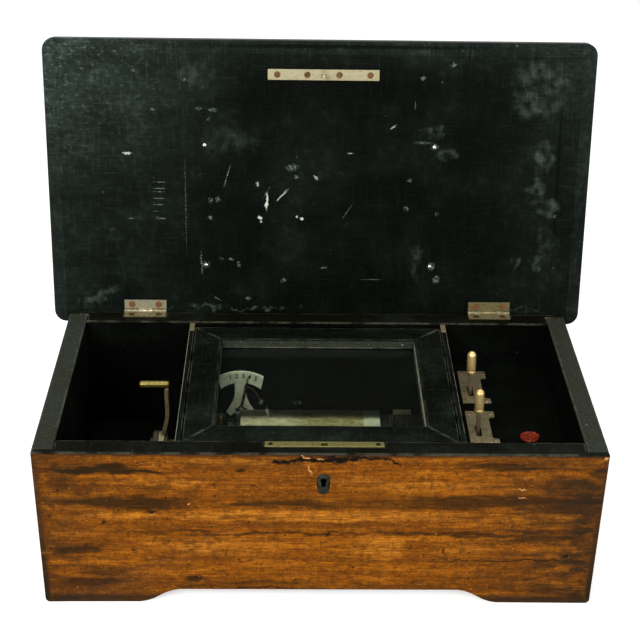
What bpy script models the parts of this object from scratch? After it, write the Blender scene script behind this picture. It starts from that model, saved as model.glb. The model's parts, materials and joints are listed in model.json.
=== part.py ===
"""Lever-wound cylinder music box with an open lid, modelled at real size.

The case stands on its bracket feet with its front towards -Y. All values are in millimetres
unless a name says otherwise, and the helpers turn them into metres.
"""

import math

import bmesh
import bpy
from mathutils import Matrix, Vector

MM = 0.001

# Clearances
SEAT = 0.3  # between two pieces that rest on or fit into each other
RUN = 0.3  # radial running clearance of shafts and pivots

# Case
CASE_WIDTH = 432.0
CASE_DEPTH = 217.0
CASE_HEIGHT = 143.0
SIDE_WALL = 16.0
FRONT_WALL = 17.0
CORNER_LAP = 5.0  # outer layer of the front and back boards that covers the sides' ends
FOOT_LENGTH = 75.0
FOOT_RAMP = 31.0
SIDE_FOOT_LENGTH = 44.0
SIDE_FOOT_RAMP = 22.0
APRON_HEIGHT = 12.7
BOTTOM_TOP = 40.0
BOTTOM_THICKNESS = 12.0

# Partitions and the deck under the control levers
PARTITION_INNER = 106.05
PARTITION_THICKNESS = 4.3
PARTITION_DROP = 0.8  # top of the partitions under the rim
DECK_DROP = 39.0  # top of the deck under the rim
DECK_THICKNESS = 6.0

# Outer lid and its hinges
LID_SIDE_OVERHANG = 14.0
LID_FRONT_OVERHANG = 14.5
LID_BACK_OVERHANG = 12.5
LID_THICKNESS = 17.0
LID_GAP = 0.3
LID_LEAN = 11.4  # degrees past upright when open
LID_CORNER_RADIUS = 10.0
LID_MOULDING_WIDTH = 12.0
LID_TOP_ROUND = 6.0
LID_TOP_STEPS = 4
LID_UNDER_ROUND = 2.0
HINGE_WIDTH = 36.5
HINGE_LEAF = 10.0
HINGE_LEAF_THICKNESS = 1.2
HINGE_KNUCKLE_RADIUS = 2.0
HINGE_PIN_RADIUS = 0.9
HINGE_X = 150.5

# Lock, strike plate and keyhole
LOCK_X = 2.5
LOCK_PLATE_LENGTH = 90.0
LOCK_PLATE_WIDTH = 7.0
LOCK_PLATE_THICKNESS = 2.2
LOCK_BODY_LENGTH = 62.0
LOCK_BODY_HEIGHT = 40.0
STRIKE_LENGTH = 92.8
STRIKE_WIDTH = 9.0
STRIKE_THICKNESS = 1.4
HOOK_LENGTH = 9.5
HOOK_WIDTH = 4.0
HOOK_THICKNESS = 3.0
HOOK_EYE_RADIUS = 1.2
BOLT_RADIUS = 0.8
BOLT_LENGTH = 14.0
BOLT_TRAVEL = 6.0
KEYHOLE_X = 2.0
KEYHOLE_DROP = 24.4  # middle of the keyhole's round part under the rim
KEYHOLE_RADIUS = 2.6
KEYHOLE_SLOT_WIDTH = 3.4
KEYHOLE_SLOT_DROP = 6.0
ESCUTCHEON_HALF_WIDTH = 4.9
ESCUTCHEON_THICKNESS = 1.5
ESCUTCHEON_PROUD = 0.3

# Glazed inner lid
GLASS_FRAME_SIDE_GAP = 0.55
GLASS_FRAME_FRONT_GAP = 0.6
GLASS_FRAME_DROP = 2.0  # top of the frame under the rim
GLASS_FRAME_HEIGHT = 12.0
STILE_WIDTH = 23.75
FRONT_RAIL_WIDTH = 24.8
BACK_RAIL_WIDTH = 20.8
GLASS_REBATE_WIDTH = 4.5
GLASS_REBATE_HEIGHT = 3.5
GLASS_THICKNESS = 2.0
GLASS_PIVOT_SETBACK = 9.5  # pivot in front of the back board
GLASS_PIVOT_TO_BACK = 4.0  # pivot to the frame's back edge
GLASS_PIVOT_DROP = 4.5  # pivot under the frame's top
GLASS_PIVOT_RADIUS = 1.3
PIVOT_PLATE_WIDTH = 7.0
PIVOT_PLATE_THICKNESS = 1.2
PIVOT_PLATE_REACH = 4.0  # leg below the pivot
PIVOT_FLANGE_LENGTH = 9.0
REST_BLOCK_WIDTH = 6.0
REST_BLOCK_HEIGHT = 6.0

# Movement bedplate
BED_CLEARANCE = 4.0  # bottom board to bedplate, the height of its feet
BED_THICKNESS = 6.0
BED_SIDE_GAP = 1.5
BED_END_GAP = 3.5
BED_CORNER = 5.0
BED_FOOT_RADIUS = 6.0

# Spring barrel and winding lever
BARREL_BEHIND_CYLINDER = 28.0
BARREL_RISE = 15.3  # axis above the bedplate
BARREL_RADIUS = 21.0
BARREL_FROM_PARTITION = 4.95
BARREL_LENGTH = 16.9
BARREL_RIM = 2.2
BARREL_ARBOR_RADIUS = 3.0
BRIDGE_THICKNESS = 2.4
BRIDGE_HEAD_RADIUS = 9.0
BRIDGE_FOOT_LENGTH = 40.0
HUB_FROM_PARTITION = 28.65
HUB_LENGTH = 12.0
HUB_RADIUS = 10.5
HUB_WAIST_RADIUS = 7.0
HUB_FLANGE = 4.2
HUB_COLLAR_RADIUS = 8.3
LEVER_LENGTH = 58.3
LEVER_BOW = 2.5
LEVER_TOP_SHIFT = 13.2  # top of the arm to the right of the hub's left end
LEVER_THICKNESS = 3.4
LEVER_WIDTH = 6.0
GRIP_PAST_ARM = 22.1  # grip to the left of the arm's top
GRIP_LENGTH = 24.3
GRIP_RADIUS = 3.05
GRIP_TENON_RADIUS = 1.2
ARBOR_NUT_RADIUS = 4.4
ARBOR_NUT_LENGTH = 2.4

# Gears: teeth, with the module worked out from the shafts' distance
GREAT_WHEEL_TEETH = 48
CYLINDER_WHEEL_TEETH = 36
GEAR_THICKNESS = 2.5
GOVERNOR_WHEEL_TEETH = 44
GOVERNOR_PINION_TEETH = 11
GOVERNOR_MODULE = 0.7
WORM_WHEEL_TEETH = 18
WORM_PITCH = 2.2

# Pinned cylinder
CYLINDER_SETBACK = 83.5  # axis behind the front board
CYLINDER_RISE = 41.5  # axis above the bedplate
CYLINDER_RADIUS = 20.5
CYLINDER_FROM_BARREL = 37.1  # left end to the right of the barrel's left end
CYLINDER_LENGTH = 114.0
CYLINDER_WALL = 1.5
CYLINDER_END_THICKNESS = 3.0
CYLINDER_ARBOR_RADIUS = 2.5
CYLINDER_BEARING_THICKNESS = 4.5
CYLINDER_BEARING_HEAD = 13.0
CYLINDER_BEARING_FOOT = 34.0
TUNE_SHIFT_LEFT = 1.2  # travel of the cylinder towards the first tune
TUNE_SHIFT_RIGHT = 0.8
CHANGE_WHEEL_THICKNESS = 3.6
CHANGE_WHEEL_TEETH = 12

# Comb
COMB_TEETH = 48
COMB_PITCH = 2.2
COMB_SLOT = 0.6
COMB_INSET = 4.0  # first tooth inside the cylinder's left end
COMB_THICKNESS = 2.2
COMB_BASS_LENGTH = 36.0
COMB_TREBLE_LENGTH = 20.0
COMB_HEEL = 10.0
COMB_TIP_GAP = 0.6
COMB_BASE_FOOT = 38.0

# Air governor
GOVERNOR_FROM_CYLINDER = 11.3
GOVERNOR_PLATE = 2.0
WORM_FROM_FRAME = 7.7  # worm's axis to the right of the frame's left side
GOVERNOR_ARBOR_RADIUS = 1.3
GOVERNOR_RISE = 17.5  # top of the frame above the cylinder's axis
GOVERNOR_AHEAD = 4.5  # frame in front of the cylinder's axis
GOVERNOR_BEHIND = 12.5
WORM_SPINDLE_RADIUS = 1.0
WORM_HELIX_RADIUS = 1.4
WORM_THREAD = 0.5
WORM_LENGTH = 11.0
FAN_WIDTH = 9.2
FAN_HEIGHT = 10.0
FAN_THICKNESS = 0.8

# Tune indicator
DIAL_LEFT_OF_CYLINDER = 1.3
DIAL_BEHIND_CYLINDER = 50.0
DIAL_DROP = 42.8  # pin under the glass frame
DIAL_OUTER_RADIUS = 36.6
DIAL_INNER_RADIUS = 25.2
DIAL_OUTER_ANGLE = 31.8
DIAL_INNER_ANGLE = 42.0
DIAL_THICKNESS = 1.0
DIAL_PIN_RADIUS = 1.0
POINTER_LENGTH = 32.8
POINTER_ANGLE = 11.5
POINTER_HUB_RADIUS = 2.8
POINTER_THICKNESS = 0.8
DIAL_BRACKET_THICKNESS = 2.5
DIAL_BRACKET_WIDTH = 26.0

# Control levers
CONTROL_FROM_PARTITION = 19.35
CONTROL_LEFT_RAIL = 5.9  # plate to the left of its slot
CONTROL_RIGHT_RAIL = 8.3
CONTROL_EAR_REACH = 5.1
CONTROL_EAR_SLOPE = 1.5
BACK_PLATE_BEHIND_PIVOT = 32.5
BACK_PLATE_AHEAD_OF_PIVOT = 18.5
BACK_PLATE_BACK_EAR = 11.0
BACK_PLATE_FRONT_EAR = 6.5
FRONT_PLATE_BEHIND_PIVOT = 29.0
FRONT_PLATE_AHEAD_OF_PIVOT = 17.5
FRONT_PLATE_BACK_EAR = 8.5
FRONT_PLATE_FRONT_EAR = 5.5
CONTROL_PLATE_THICKNESS = 1.5
CONTROL_BACK_PIVOT_Y = 41.0
CONTROL_FRONT_PIVOT_Y = -19.5
CONTROL_PIVOT_DROP = 7.5  # pivot under the deck's top
CONTROL_TILT = 12.0  # degrees that both levers lean back at rest
CONTROL_ARM_LENGTH = 24.0
CONTROL_ARM_TOP_WIDTH = 3.6
CONTROL_ARM_FOOT_WIDTH = 2.6
CONTROL_ARM_THICKNESS = 3.0
CONTROL_BOSS_RADIUS = 3.0
CONTROL_PIN_RADIUS = 1.3
CONTROL_SLOT_FRONT = 8.0
CONTROL_SLOT_BACK = 7.0
CONTROL_SLOT_WIDTH = 4.6
CONTROL_LUG_THICKNESS = 1.5
KNOB_RADIUS = 3.9
KNOB_LENGTH = 19.9
KNOB_COLLAR = 2.2
SEAL_FROM_WALL = 29.5
SEAL_Y = -27.3
SEAL_RADIUS = 9.0
SEAL_HEIGHT = 1.8

# Places worked out from the sizes above
INNER_X = CASE_WIDTH / 2 - SIDE_WALL
INNER_Y = CASE_DEPTH / 2 - FRONT_WALL
LEAN = math.radians(LID_LEAN)
HINGE_OFFSET = (LID_BACK_OVERHANG * math.sin(LEAN) + SEAT - LID_GAP * math.cos(LEAN)) / (1 + math.sin(LEAN))
HINGE_Y = CASE_DEPTH / 2 + HINGE_OFFSET
LID_FRONT = -CASE_DEPTH / 2 - LID_FRONT_OVERHANG - HINGE_Y
LID_BACK = CASE_DEPTH / 2 + LID_BACK_OVERHANG - HINGE_Y
LID_HALF_WIDTH = CASE_WIDTH / 2 + LID_SIDE_OVERHANG
LID_TOP = LID_GAP + LID_THICKNESS
LOCK_Y = -INNER_Y - LOCK_PLATE_WIDTH / 2 - SEAT
KEYHOLE_TOP = CASE_HEIGHT - KEYHOLE_DROP
DECK_TOP = CASE_HEIGHT - DECK_DROP
PARTITION_TOP = CASE_HEIGHT - PARTITION_DROP
PARTITION_OUTER = PARTITION_INNER + PARTITION_THICKNESS
GLASS_PIVOT_Y = INNER_Y - GLASS_PIVOT_SETBACK
GLASS_FRAME_HALF = PARTITION_INNER - GLASS_FRAME_SIDE_GAP
GLASS_FRAME_FRONT = -INNER_Y + GLASS_FRAME_FRONT_GAP
GLASS_FRAME_BACK = GLASS_PIVOT_Y + GLASS_PIVOT_TO_BACK
GLASS_FRAME_TOP = CASE_HEIGHT - GLASS_FRAME_DROP
GLASS_FRAME_LOW = GLASS_FRAME_TOP - GLASS_FRAME_HEIGHT
GLASS_PIVOT_Z = GLASS_FRAME_TOP - GLASS_PIVOT_DROP
BED_UNDER = BOTTOM_TOP + BED_CLEARANCE
BED_TOP = BED_UNDER + BED_THICKNESS
CYLINDER_Y = -INNER_Y + CYLINDER_SETBACK
CYLINDER_Z = BED_TOP + CYLINDER_RISE
BARREL_Y = CYLINDER_Y + BARREL_BEHIND_CYLINDER
BARREL_Z = BED_TOP + BARREL_RISE
BARREL_LEFT = -PARTITION_INNER + BARREL_FROM_PARTITION
BARREL_RIGHT = BARREL_LEFT + BARREL_LENGTH
GREAT_WHEEL_LEFT = BARREL_RIGHT + SEAT
GREAT_WHEEL_RIGHT = GREAT_WHEEL_LEFT + GEAR_THICKNESS
RIGHT_BRIDGE_LEFT = GREAT_WHEEL_RIGHT + SEAT + 1.0
HUB_LEFT = -PARTITION_OUTER - HUB_FROM_PARTITION
LEVER_TOP_X = HUB_LEFT + LEVER_TOP_SHIFT
GRIP_LEFT = LEVER_TOP_X - GRIP_PAST_ARM
CYLINDER_LEFT = BARREL_LEFT + CYLINDER_FROM_BARREL
CYLINDER_RIGHT = CYLINDER_LEFT + CYLINDER_LENGTH
COMB_LEFT = CYLINDER_LEFT + COMB_INSET
SHAFT_DISTANCE = math.hypot(BARREL_Y - CYLINDER_Y, BARREL_Z - CYLINDER_Z)
DRIVE_MODULE = 2 * SHAFT_DISTANCE / (GREAT_WHEEL_TEETH + CYLINDER_WHEEL_TEETH)
GOVERNOR_DISTANCE = GOVERNOR_MODULE * (GOVERNOR_WHEEL_TEETH + GOVERNOR_PINION_TEETH) / 2 + 0.1
GOVERNOR_Z = CYLINDER_Z - GOVERNOR_DISTANCE
WORM_WHEEL_RADIUS = WORM_PITCH * WORM_WHEEL_TEETH / (2 * math.pi)
WORM_Y = CYLINDER_Y + WORM_WHEEL_RADIUS + WORM_HELIX_RADIUS + 0.3
GOVERNOR_LEFT = CYLINDER_RIGHT + GOVERNOR_FROM_CYLINDER
GOVERNOR_WHEEL_LEFT = GOVERNOR_LEFT - 3.5
GOVERNOR_TOP = CYLINDER_Z + GOVERNOR_RISE
GOVERNOR_FRONT = CYLINDER_Y - GOVERNOR_AHEAD
GOVERNOR_BACK = CYLINDER_Y + GOVERNOR_BEHIND
WORM_X = GOVERNOR_LEFT + WORM_FROM_FRAME
GOVERNOR_RIGHT = 2 * WORM_X - GOVERNOR_LEFT - 0.7
DIAL_X = CYLINDER_LEFT - DIAL_LEFT_OF_CYLINDER
DIAL_Y = CYLINDER_Y + DIAL_BEHIND_CYLINDER
DIAL_Z = GLASS_FRAME_LOW - DIAL_DROP
CONTROL_X = PARTITION_OUTER + CONTROL_FROM_PARTITION
CONTROL_PIVOT_Z = DECK_TOP - CONTROL_PIVOT_DROP
CONTROL_PLATE_LOW = DECK_TOP + SEAT
SEAL_X = INNER_X - SEAL_FROM_WALL


def open_lid_reach():
    """How far back the open lid's front edge reaches, with its rounded upper edge."""
    turn = -(math.pi / 2 + LEAN)
    reaches = []
    for i in range(LID_TOP_STEPS + 1):
        angle = math.pi / 2 * i / LID_TOP_STEPS
        along = LID_FRONT + LID_TOP_ROUND * (1 - math.sin(angle))
        up = LID_TOP - LID_TOP_ROUND * (1 - math.cos(angle))
        reaches.append(HINGE_Y + along * math.cos(turn) - up * math.sin(turn))
    return max(reaches)


CENTRE_Y = (open_lid_reach() - CASE_DEPTH / 2 - ESCUTCHEON_PROUD) / 2

AXIS_TURNS = {
    "Z": Matrix.Identity(4),
    "X": Matrix(((0, 0, 1, 0), (1, 0, 0, 0), (0, 1, 0, 0), (0, 0, 0, 1))),
    "Y": Matrix(((1, 0, 0, 0), (0, 0, -1, 0), (0, 1, 0, 0), (0, 0, 0, 1))),
}

collections = {}
materials = {}


def clear_scene():
    """Removes what the file holds and makes the two collections."""
    for old in list(bpy.data.objects):
        bpy.data.objects.remove(old)
    for name in ("music_box", "cutters"):
        collections[name] = bpy.data.collections.new(name)
        bpy.context.scene.collection.children.link(collections[name])


def finish(name, colour, roughness, metallic=0.0, alpha=1.0):
    """A Principled material, made once for each name."""
    if name not in materials:
        material = bpy.data.materials.new(name)
        material.use_nodes = True
        shader = material.node_tree.nodes["Principled BSDF"]
        shader.inputs["Base Color"].default_value = (*colour, 1.0)
        shader.inputs["Roughness"].default_value = roughness
        shader.inputs["Metallic"].default_value = metallic
        shader.inputs["Alpha"].default_value = alpha
        material.diffuse_color = (*colour, alpha)
        materials[name] = material
    return materials[name]


def front_wood():
    return finish("grained_front_wood", (0.36, 0.15, 0.045), 0.45)


def ebonised():
    return finish("ebonised_wood", (0.018, 0.022, 0.018), 0.5)


def plain_wood():
    return finish("plain_wood", (0.22, 0.12, 0.06), 0.7)


def brass():
    return finish("brass", (0.62, 0.46, 0.20), 0.3, 1.0)


def aged_brass():
    return finish("aged_brass", (0.45, 0.42, 0.28), 0.45, 1.0)


def steel():
    return finish("steel", (0.42, 0.40, 0.34), 0.4, 1.0)


def dark_steel():
    return finish("dark_steel", (0.09, 0.09, 0.085), 0.5, 1.0)


def iron():
    return finish("japanned_iron", (0.05, 0.05, 0.045), 0.55, 0.2)


def dial_metal():
    return finish("silvered_dial", (0.55, 0.53, 0.43), 0.45, 0.3)


def clear_glass():
    return finish("clear_glass", (0.9, 0.95, 0.92), 0.05, 0.0, 0.25)


def red_wax():
    return finish("red_wax", (0.35, 0.03, 0.02), 0.4)


def empty(name, location, parent=None):
    """An empty at a joint's axis or at the object's own origin."""
    guide = bpy.data.objects.new(name, None)
    guide.location = Vector(location) * MM
    guide.parent = parent
    collections["music_box"].objects.link(guide)
    return guide


def add_object(name, mesh, material, parent, location=(0, 0, 0), cutter=False):
    """Puts a mesh in the object's collection, or in the cutters' one."""
    piece = bpy.data.objects.new(name, mesh)
    piece.parent = parent
    piece.location = Vector(location) * MM
    if cutter:
        piece.hide_render = True
        piece.display_type = "WIRE"
        collections["cutters"].objects.link(piece)
    else:
        mesh.materials.append(material)
        collections["music_box"].objects.link(piece)
    return piece


def block(name, low, high, material=None, parent=None, cutter=False):
    """A box between two corners."""
    low, high = Vector(low), Vector(high)
    bm = bmesh.new()
    size = (high - low) * MM
    bmesh.ops.create_cube(bm, size=1.0, matrix=Matrix.Diagonal((*size, 1.0)))
    mesh = bpy.data.meshes.new(name)
    bm.to_mesh(mesh)
    bm.free()
    return add_object(name, mesh, material, parent, (low + high) / 2, cutter)


def rod(name, radius, start, end, axis, material=None, parent=None, sides=16, cutter=False):
    """A round bar along one axis between two points."""
    start, end = Vector(start), Vector(end)
    bm = bmesh.new()
    bmesh.ops.create_cone(
        bm,
        cap_ends=True,
        segments=sides,
        radius1=radius * MM,
        radius2=radius * MM,
        depth=(end - start).length * MM,
        matrix=AXIS_TURNS[axis],
    )
    mesh = bpy.data.meshes.new(name)
    bm.to_mesh(mesh)
    bm.free()
    return add_object(name, mesh, material, parent, (start + end) / 2, cutter)


def flat_mesh(name, outlines, thickness, axis):
    """A flat outline with its holes, as thick as given along +axis, from a filled 2D curve."""
    curve = bpy.data.curves.new(name, "CURVE")
    curve.dimensions = "2D"
    curve.fill_mode = "BOTH"
    curve.extrude = thickness / 2 * MM
    for outline in outlines:
        spline = curve.splines.new("POLY")
        spline.points.add(len(outline) - 1)
        for point, (u, v) in zip(spline.points, outline):
            point.co = (u * MM, v * MM, 0, 1)
        spline.use_cyclic_u = True
    guide = bpy.data.objects.new(name, curve)
    bpy.context.scene.collection.objects.link(guide)
    bpy.context.view_layer.update()
    graph = bpy.context.evaluated_depsgraph_get()
    mesh = bpy.data.meshes.new_from_object(guide.evaluated_get(graph))
    bpy.data.objects.remove(guide)
    bpy.data.curves.remove(curve)
    bm = bmesh.new()
    bm.from_mesh(mesh)
    bmesh.ops.remove_doubles(bm, verts=bm.verts, dist=0.000001)
    bmesh.ops.recalc_face_normals(bm, faces=bm.faces)
    half = Vector((0, 0, thickness / 2 * MM))
    bmesh.ops.translate(bm, verts=bm.verts, vec=half)
    bmesh.ops.transform(bm, verts=bm.verts, matrix=AXIS_TURNS[axis])
    bm.to_mesh(mesh)
    bm.free()
    mesh.name = name
    return mesh


def plate(name, outlines, thickness, axis, location, material=None, parent=None, cutter=False):
    """A plate with its outlines in the plane square to the axis. Along Y the plate grows towards -Y."""
    mesh = flat_mesh(name, outlines, thickness, axis)
    return add_object(name, mesh, material, parent, location, cutter)


def turned(name, profile, axis, location, material=None, parent=None, steps=24, bored=False):
    """A turned piece from (radius, distance along the axis) points, listed from the low end up.

    A bored piece's profile is a closed loop: up the outer side and back down the bore.
    """
    points = [(radius * MM, 0.0, along * MM) for radius, along in reversed(profile)]
    edges = [(i, i + 1) for i in range(len(points) - 1)]
    if bored:
        edges.append((len(points) - 1, 0))
    mesh = bpy.data.meshes.new(name)
    mesh.from_pydata(points, edges, [])
    piece = add_object(name, mesh, material, parent, location)
    if axis == "X":
        piece.rotation_euler = (0, math.pi / 2, 0)
    if axis == "Y":
        piece.rotation_euler = (-math.pi / 2, 0, 0)
    screw = piece.modifiers.new("turning", "SCREW")
    screw.steps = steps
    screw.render_steps = steps
    screw.use_merge_vertices = True
    screw.merge_threshold = 0.000001
    return piece


def combine(piece, tools, operation):
    """Adds one Boolean for each tool, in order."""
    for tool in tools:
        change = piece.modifiers.new(tool.name, "BOOLEAN")
        change.operation = operation
        change.object = tool
        change.solver = "EXACT"
    return piece


def cut(piece, *tools):
    return combine(piece, tools, "DIFFERENCE")


def join(piece, *tools):
    return combine(piece, tools, "UNION")


def keep_inside(piece, tool):
    return combine(piece, [tool], "INTERSECT")


def smooth(piece, angle=40):
    """Shades round surfaces smooth and keeps the edges between faces sharp."""
    piece.data.shade_smooth()
    piece.data.set_sharp_from_angle(angle=math.radians(angle))
    return piece


def rectangle(u_low, v_low, u_high, v_high):
    return [(u_low, v_low), (u_high, v_low), (u_high, v_high), (u_low, v_high)]


def arc(u, v, radius, start, end, steps):
    """Points on an arc, angles in degrees from +u."""
    points = []
    for i in range(steps + 1):
        angle = math.radians(start + (end - start) * i / steps)
        points.append((u + radius * math.cos(angle), v + radius * math.sin(angle)))
    return points


def circle(u, v, radius, sides=20):
    return arc(u, v, radius, 0, 360 - 360 / sides, sides - 1)


def round_rectangle(u_low, v_low, u_high, v_high, radius, steps=5):
    """A rectangle with round corners."""
    return (
        arc(u_high - radius, v_high - radius, radius, 0, 90, steps)
        + arc(u_low + radius, v_high - radius, radius, 90, 180, steps)
        + arc(u_low + radius, v_low + radius, radius, 180, 270, steps)
        + arc(u_high - radius, v_low + radius, radius, 270, 360, steps)
    )


def gear(teeth, module, tooth_at=0.0, addendum=0.8, dedendum=1.15, backlash=0.36, pressure=20.0):
    """A gear's outline: straight flanks between the involute's root and tip.

    tooth_at is the angle in radians at which one tooth is centred. The backlash is in millimetres
    at the pitch circle.
    """
    pitch = teeth * module / 2
    base = pitch * math.cos(math.radians(pressure))
    tip = pitch + addendum * module
    root = pitch - dedendum * module
    half_pitch_tooth = math.pi / (2 * teeth) - backlash / (2 * pitch)

    def involute(radius):
        angle = math.acos(min(1.0, base / radius))
        return math.tan(angle) - angle

    def half_tooth(radius):
        return half_pitch_tooth + involute(pitch) - involute(max(radius, base))

    points = []
    for i in range(teeth):
        middle = tooth_at + 2 * math.pi * i / teeth
        for radius, side in ((root, -1), (tip, -1), (tip, 1), (root, 1)):
            angle = middle + side * half_tooth(radius)
            points.append((radius * math.cos(angle), radius * math.sin(angle)))
    return points


def bracket_outline(half_width, foot, ramp):
    """A board's face with the bracket-foot opening cut into its lower edge."""
    inner = half_width - foot
    points = [(-half_width, 0), (-inner, 0)]
    for i in range(1, 6):
        share = i / 6
        points.append((-inner + ramp * share, APRON_HEIGHT * (share - 0.09 * math.sin(2 * math.pi * share))))
    points.append((-inner + ramp, APRON_HEIGHT))
    mirrored = [(-u, v) for u, v in reversed(points)]
    return points + mirrored + [(half_width, CASE_HEIGHT), (-half_width, CASE_HEIGHT)]


def keyhole_outline(u, v, radius, slot, drop, sides=14):
    """A round keyhole with its slot below, grown by nothing."""
    half = slot / 2
    below = -math.degrees(math.acos(half / radius))
    points = arc(u, v, radius, below, 180 - below, sides)
    return points + [(u - half, v - drop), (u + half, v - drop)]


def long_board(name, side, material, parent):
    """The front or the back board: full width outside, with rebated ends that lap the sides."""
    outline = bracket_outline(CASE_WIDTH / 2, FOOT_LENGTH, FOOT_RAMP)
    y_back = -CASE_DEPTH / 2 + FRONT_WALL if side < 0 else CASE_DEPTH / 2
    board = plate(name, [outline], FRONT_WALL, "Y", (0, y_back, 0), material, parent)
    lap_y = side * (CASE_DEPTH / 2 - CORNER_LAP)
    for end in (-1, 1):
        corner_a = (end * (INNER_X - SEAT), lap_y, -1)
        corner_b = (end * (CASE_WIDTH / 2 + 1), side * (INNER_Y - 1), CASE_HEIGHT + 1)
        low = [min(a, b) for a, b in zip(corner_a, corner_b)]
        high = [max(a, b) for a, b in zip(corner_a, corner_b)]
        cut(board, block(f"{name}_rebate_{end}", low, high, parent=parent, cutter=True))
    return board


def end_board(name, side, material, parent):
    """The left or the right end of the case, between the laps of the long boards."""
    half = CASE_DEPTH / 2 - CORNER_LAP - SEAT
    outline = bracket_outline(half, SIDE_FOOT_LENGTH - CORNER_LAP, SIDE_FOOT_RAMP)
    x_low = INNER_X if side > 0 else -CASE_WIDTH / 2
    return plate(name, [outline], SIDE_WALL, "X", (x_low, 0, 0), material, parent)


def case_boards(parent):
    """The four walls of the case and its bottom."""
    front = long_board("case_front", -1, front_wood(), parent)
    back = long_board("case_back", 1, front_wood(), parent)
    end_board("case_left", -1, front_wood(), parent)
    end_board("case_right", 1, front_wood(), parent)
    gap = SEAT
    block(
        "bottom_board",
        (-INNER_X + gap, -INNER_Y + gap, BOTTOM_TOP - BOTTOM_THICKNESS),
        (INNER_X - gap, INNER_Y - gap, BOTTOM_TOP),
        plain_wood(),
        parent,
    )
    lock_mortise(front, parent)
    keyhole(front, parent)
    for side in (-1, 1):
        leaf_recess(back, side, parent)


def lock_mortise(front, parent):
    """The pocket for the lock, let into the front board from its inner side."""
    face = LOCK_Y - LOCK_PLATE_WIDTH / 2 - SEAT
    shapes = (
        ("selvedge_pocket", LOCK_PLATE_LENGTH / 2 + SEAT, LOCK_PLATE_THICKNESS + SEAT),
        ("lock_pocket", LOCK_BODY_LENGTH / 2 + SEAT, LOCK_BODY_HEIGHT + SEAT),
    )
    for name, half, depth in shapes:
        low = (LOCK_X - half, face, CASE_HEIGHT - depth)
        high = (LOCK_X + half, -INNER_Y + 1, CASE_HEIGHT + 1)
        cut(front, block(name, low, high, parent=parent, cutter=True))


def escutcheon_outline(grow):
    """The keyhole liner's outer edge: a round head that draws in and swells again at its foot."""
    radius = ESCUTCHEON_HALF_WIDTH + grow
    low = KEYHOLE_TOP - KEYHOLE_SLOT_DROP - 1.6
    return arc(KEYHOLE_X, KEYHOLE_TOP + 1.2, radius, -35, 215, 12) + arc(
        KEYHOLE_X, low - 0.6, radius - 0.7, 150, 390, 10
    )


def keyhole(front, parent):
    """The keyhole through the front board, with its metal liner let in flush."""
    hole = keyhole_outline(KEYHOLE_X, KEYHOLE_TOP, KEYHOLE_RADIUS, KEYHOLE_SLOT_WIDTH, KEYHOLE_SLOT_DROP)
    face = -CASE_DEPTH / 2
    front_of_lock = LOCK_Y - LOCK_PLATE_WIDTH / 2
    depth = front_of_lock - face + 3
    start = (0, front_of_lock + 1, 0)
    through = plate("keyhole_cut", [hole], depth, "Y", start, parent=parent, cutter=True)
    recess_back = face + ESCUTCHEON_THICKNESS - ESCUTCHEON_PROUD + SEAT
    recess = plate(
        "escutcheon_recess",
        [escutcheon_outline(SEAT)],
        recess_back - face + 1,
        "Y",
        (0, recess_back, 0),
        parent=parent,
        cutter=True,
    )
    cut(front, through, recess)
    plate(
        "keyhole_escutcheon",
        [escutcheon_outline(0), hole],
        ESCUTCHEON_THICKNESS,
        "Y",
        (0, recess_back - SEAT, 0),
        dark_steel(),
        parent,
    )


def hook_slot(grow):
    """The box in the lock that the lid's hook drops into."""
    half_x = HOOK_WIDTH / 2 + grow
    half_y = HOOK_THICKNESS / 2 + grow
    low = (LOCK_X - half_x, LOCK_Y - half_y, CASE_HEIGHT - HOOK_LENGTH - grow)
    high = (LOCK_X + half_x, LOCK_Y + half_y, CASE_HEIGHT + 1)
    return low, high


def bolt_height():
    """The bolt's axis, level with the eye of the closed lid's hook."""
    return CASE_HEIGHT + LID_GAP - HOOK_LENGTH + HOOK_EYE_RADIUS + 1.6


def lock(parent):
    """The lock let into the front board, with its bolt drawn back."""
    back = LOCK_Y + LOCK_PLATE_WIDTH / 2
    front = LOCK_Y - LOCK_PLATE_WIDTH / 2
    body = block(
        "lock_case",
        (LOCK_X - LOCK_BODY_LENGTH / 2, front + SEAT, CASE_HEIGHT - LOCK_BODY_HEIGHT),
        (LOCK_X + LOCK_BODY_LENGTH / 2, back - SEAT, CASE_HEIGHT - LOCK_PLATE_THICKNESS / 2),
        aged_brass(),
        parent,
    )
    selvedge = block(
        "lock_selvedge",
        (LOCK_X - LOCK_PLATE_LENGTH / 2, front, CASE_HEIGHT - LOCK_PLATE_THICKNESS),
        (LOCK_X + LOCK_PLATE_LENGTH / 2, back, CASE_HEIGHT),
        parent=parent,
        cutter=True,
    )
    join(body, selvedge)
    low, high = hook_slot(0.5)
    slot = block("hook_slot", low, high, parent=parent, cutter=True)
    bolt_end = LOCK_X - HOOK_WIDTH / 2 - 0.9
    z = bolt_height()
    channel_low = (bolt_end - BOLT_LENGTH - 1, LOCK_Y - BOLT_RADIUS - RUN, z - BOLT_RADIUS - RUN)
    channel_high = (bolt_end + BOLT_TRAVEL + 3.5, LOCK_Y + BOLT_RADIUS + RUN, z + BOLT_RADIUS + RUN)
    channel = block("bolt_channel", channel_low, channel_high, parent=parent, cutter=True)
    pocket = rod(
        "key_pocket",
        KEYHOLE_RADIUS,
        (KEYHOLE_X, LOCK_Y - LOCK_PLATE_WIDTH, KEYHOLE_TOP),
        (KEYHOLE_X, back - 1.5, KEYHOLE_TOP),
        "Y",
        parent=parent,
        cutter=True,
    )
    cut(body, slot, channel, pocket)
    rod(
        "lock_bolt",
        BOLT_RADIUS,
        (bolt_end - BOLT_LENGTH, LOCK_Y, z),
        (bolt_end, LOCK_Y, z),
        "X",
        steel(),
        parent,
        sides=12,
    )


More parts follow.
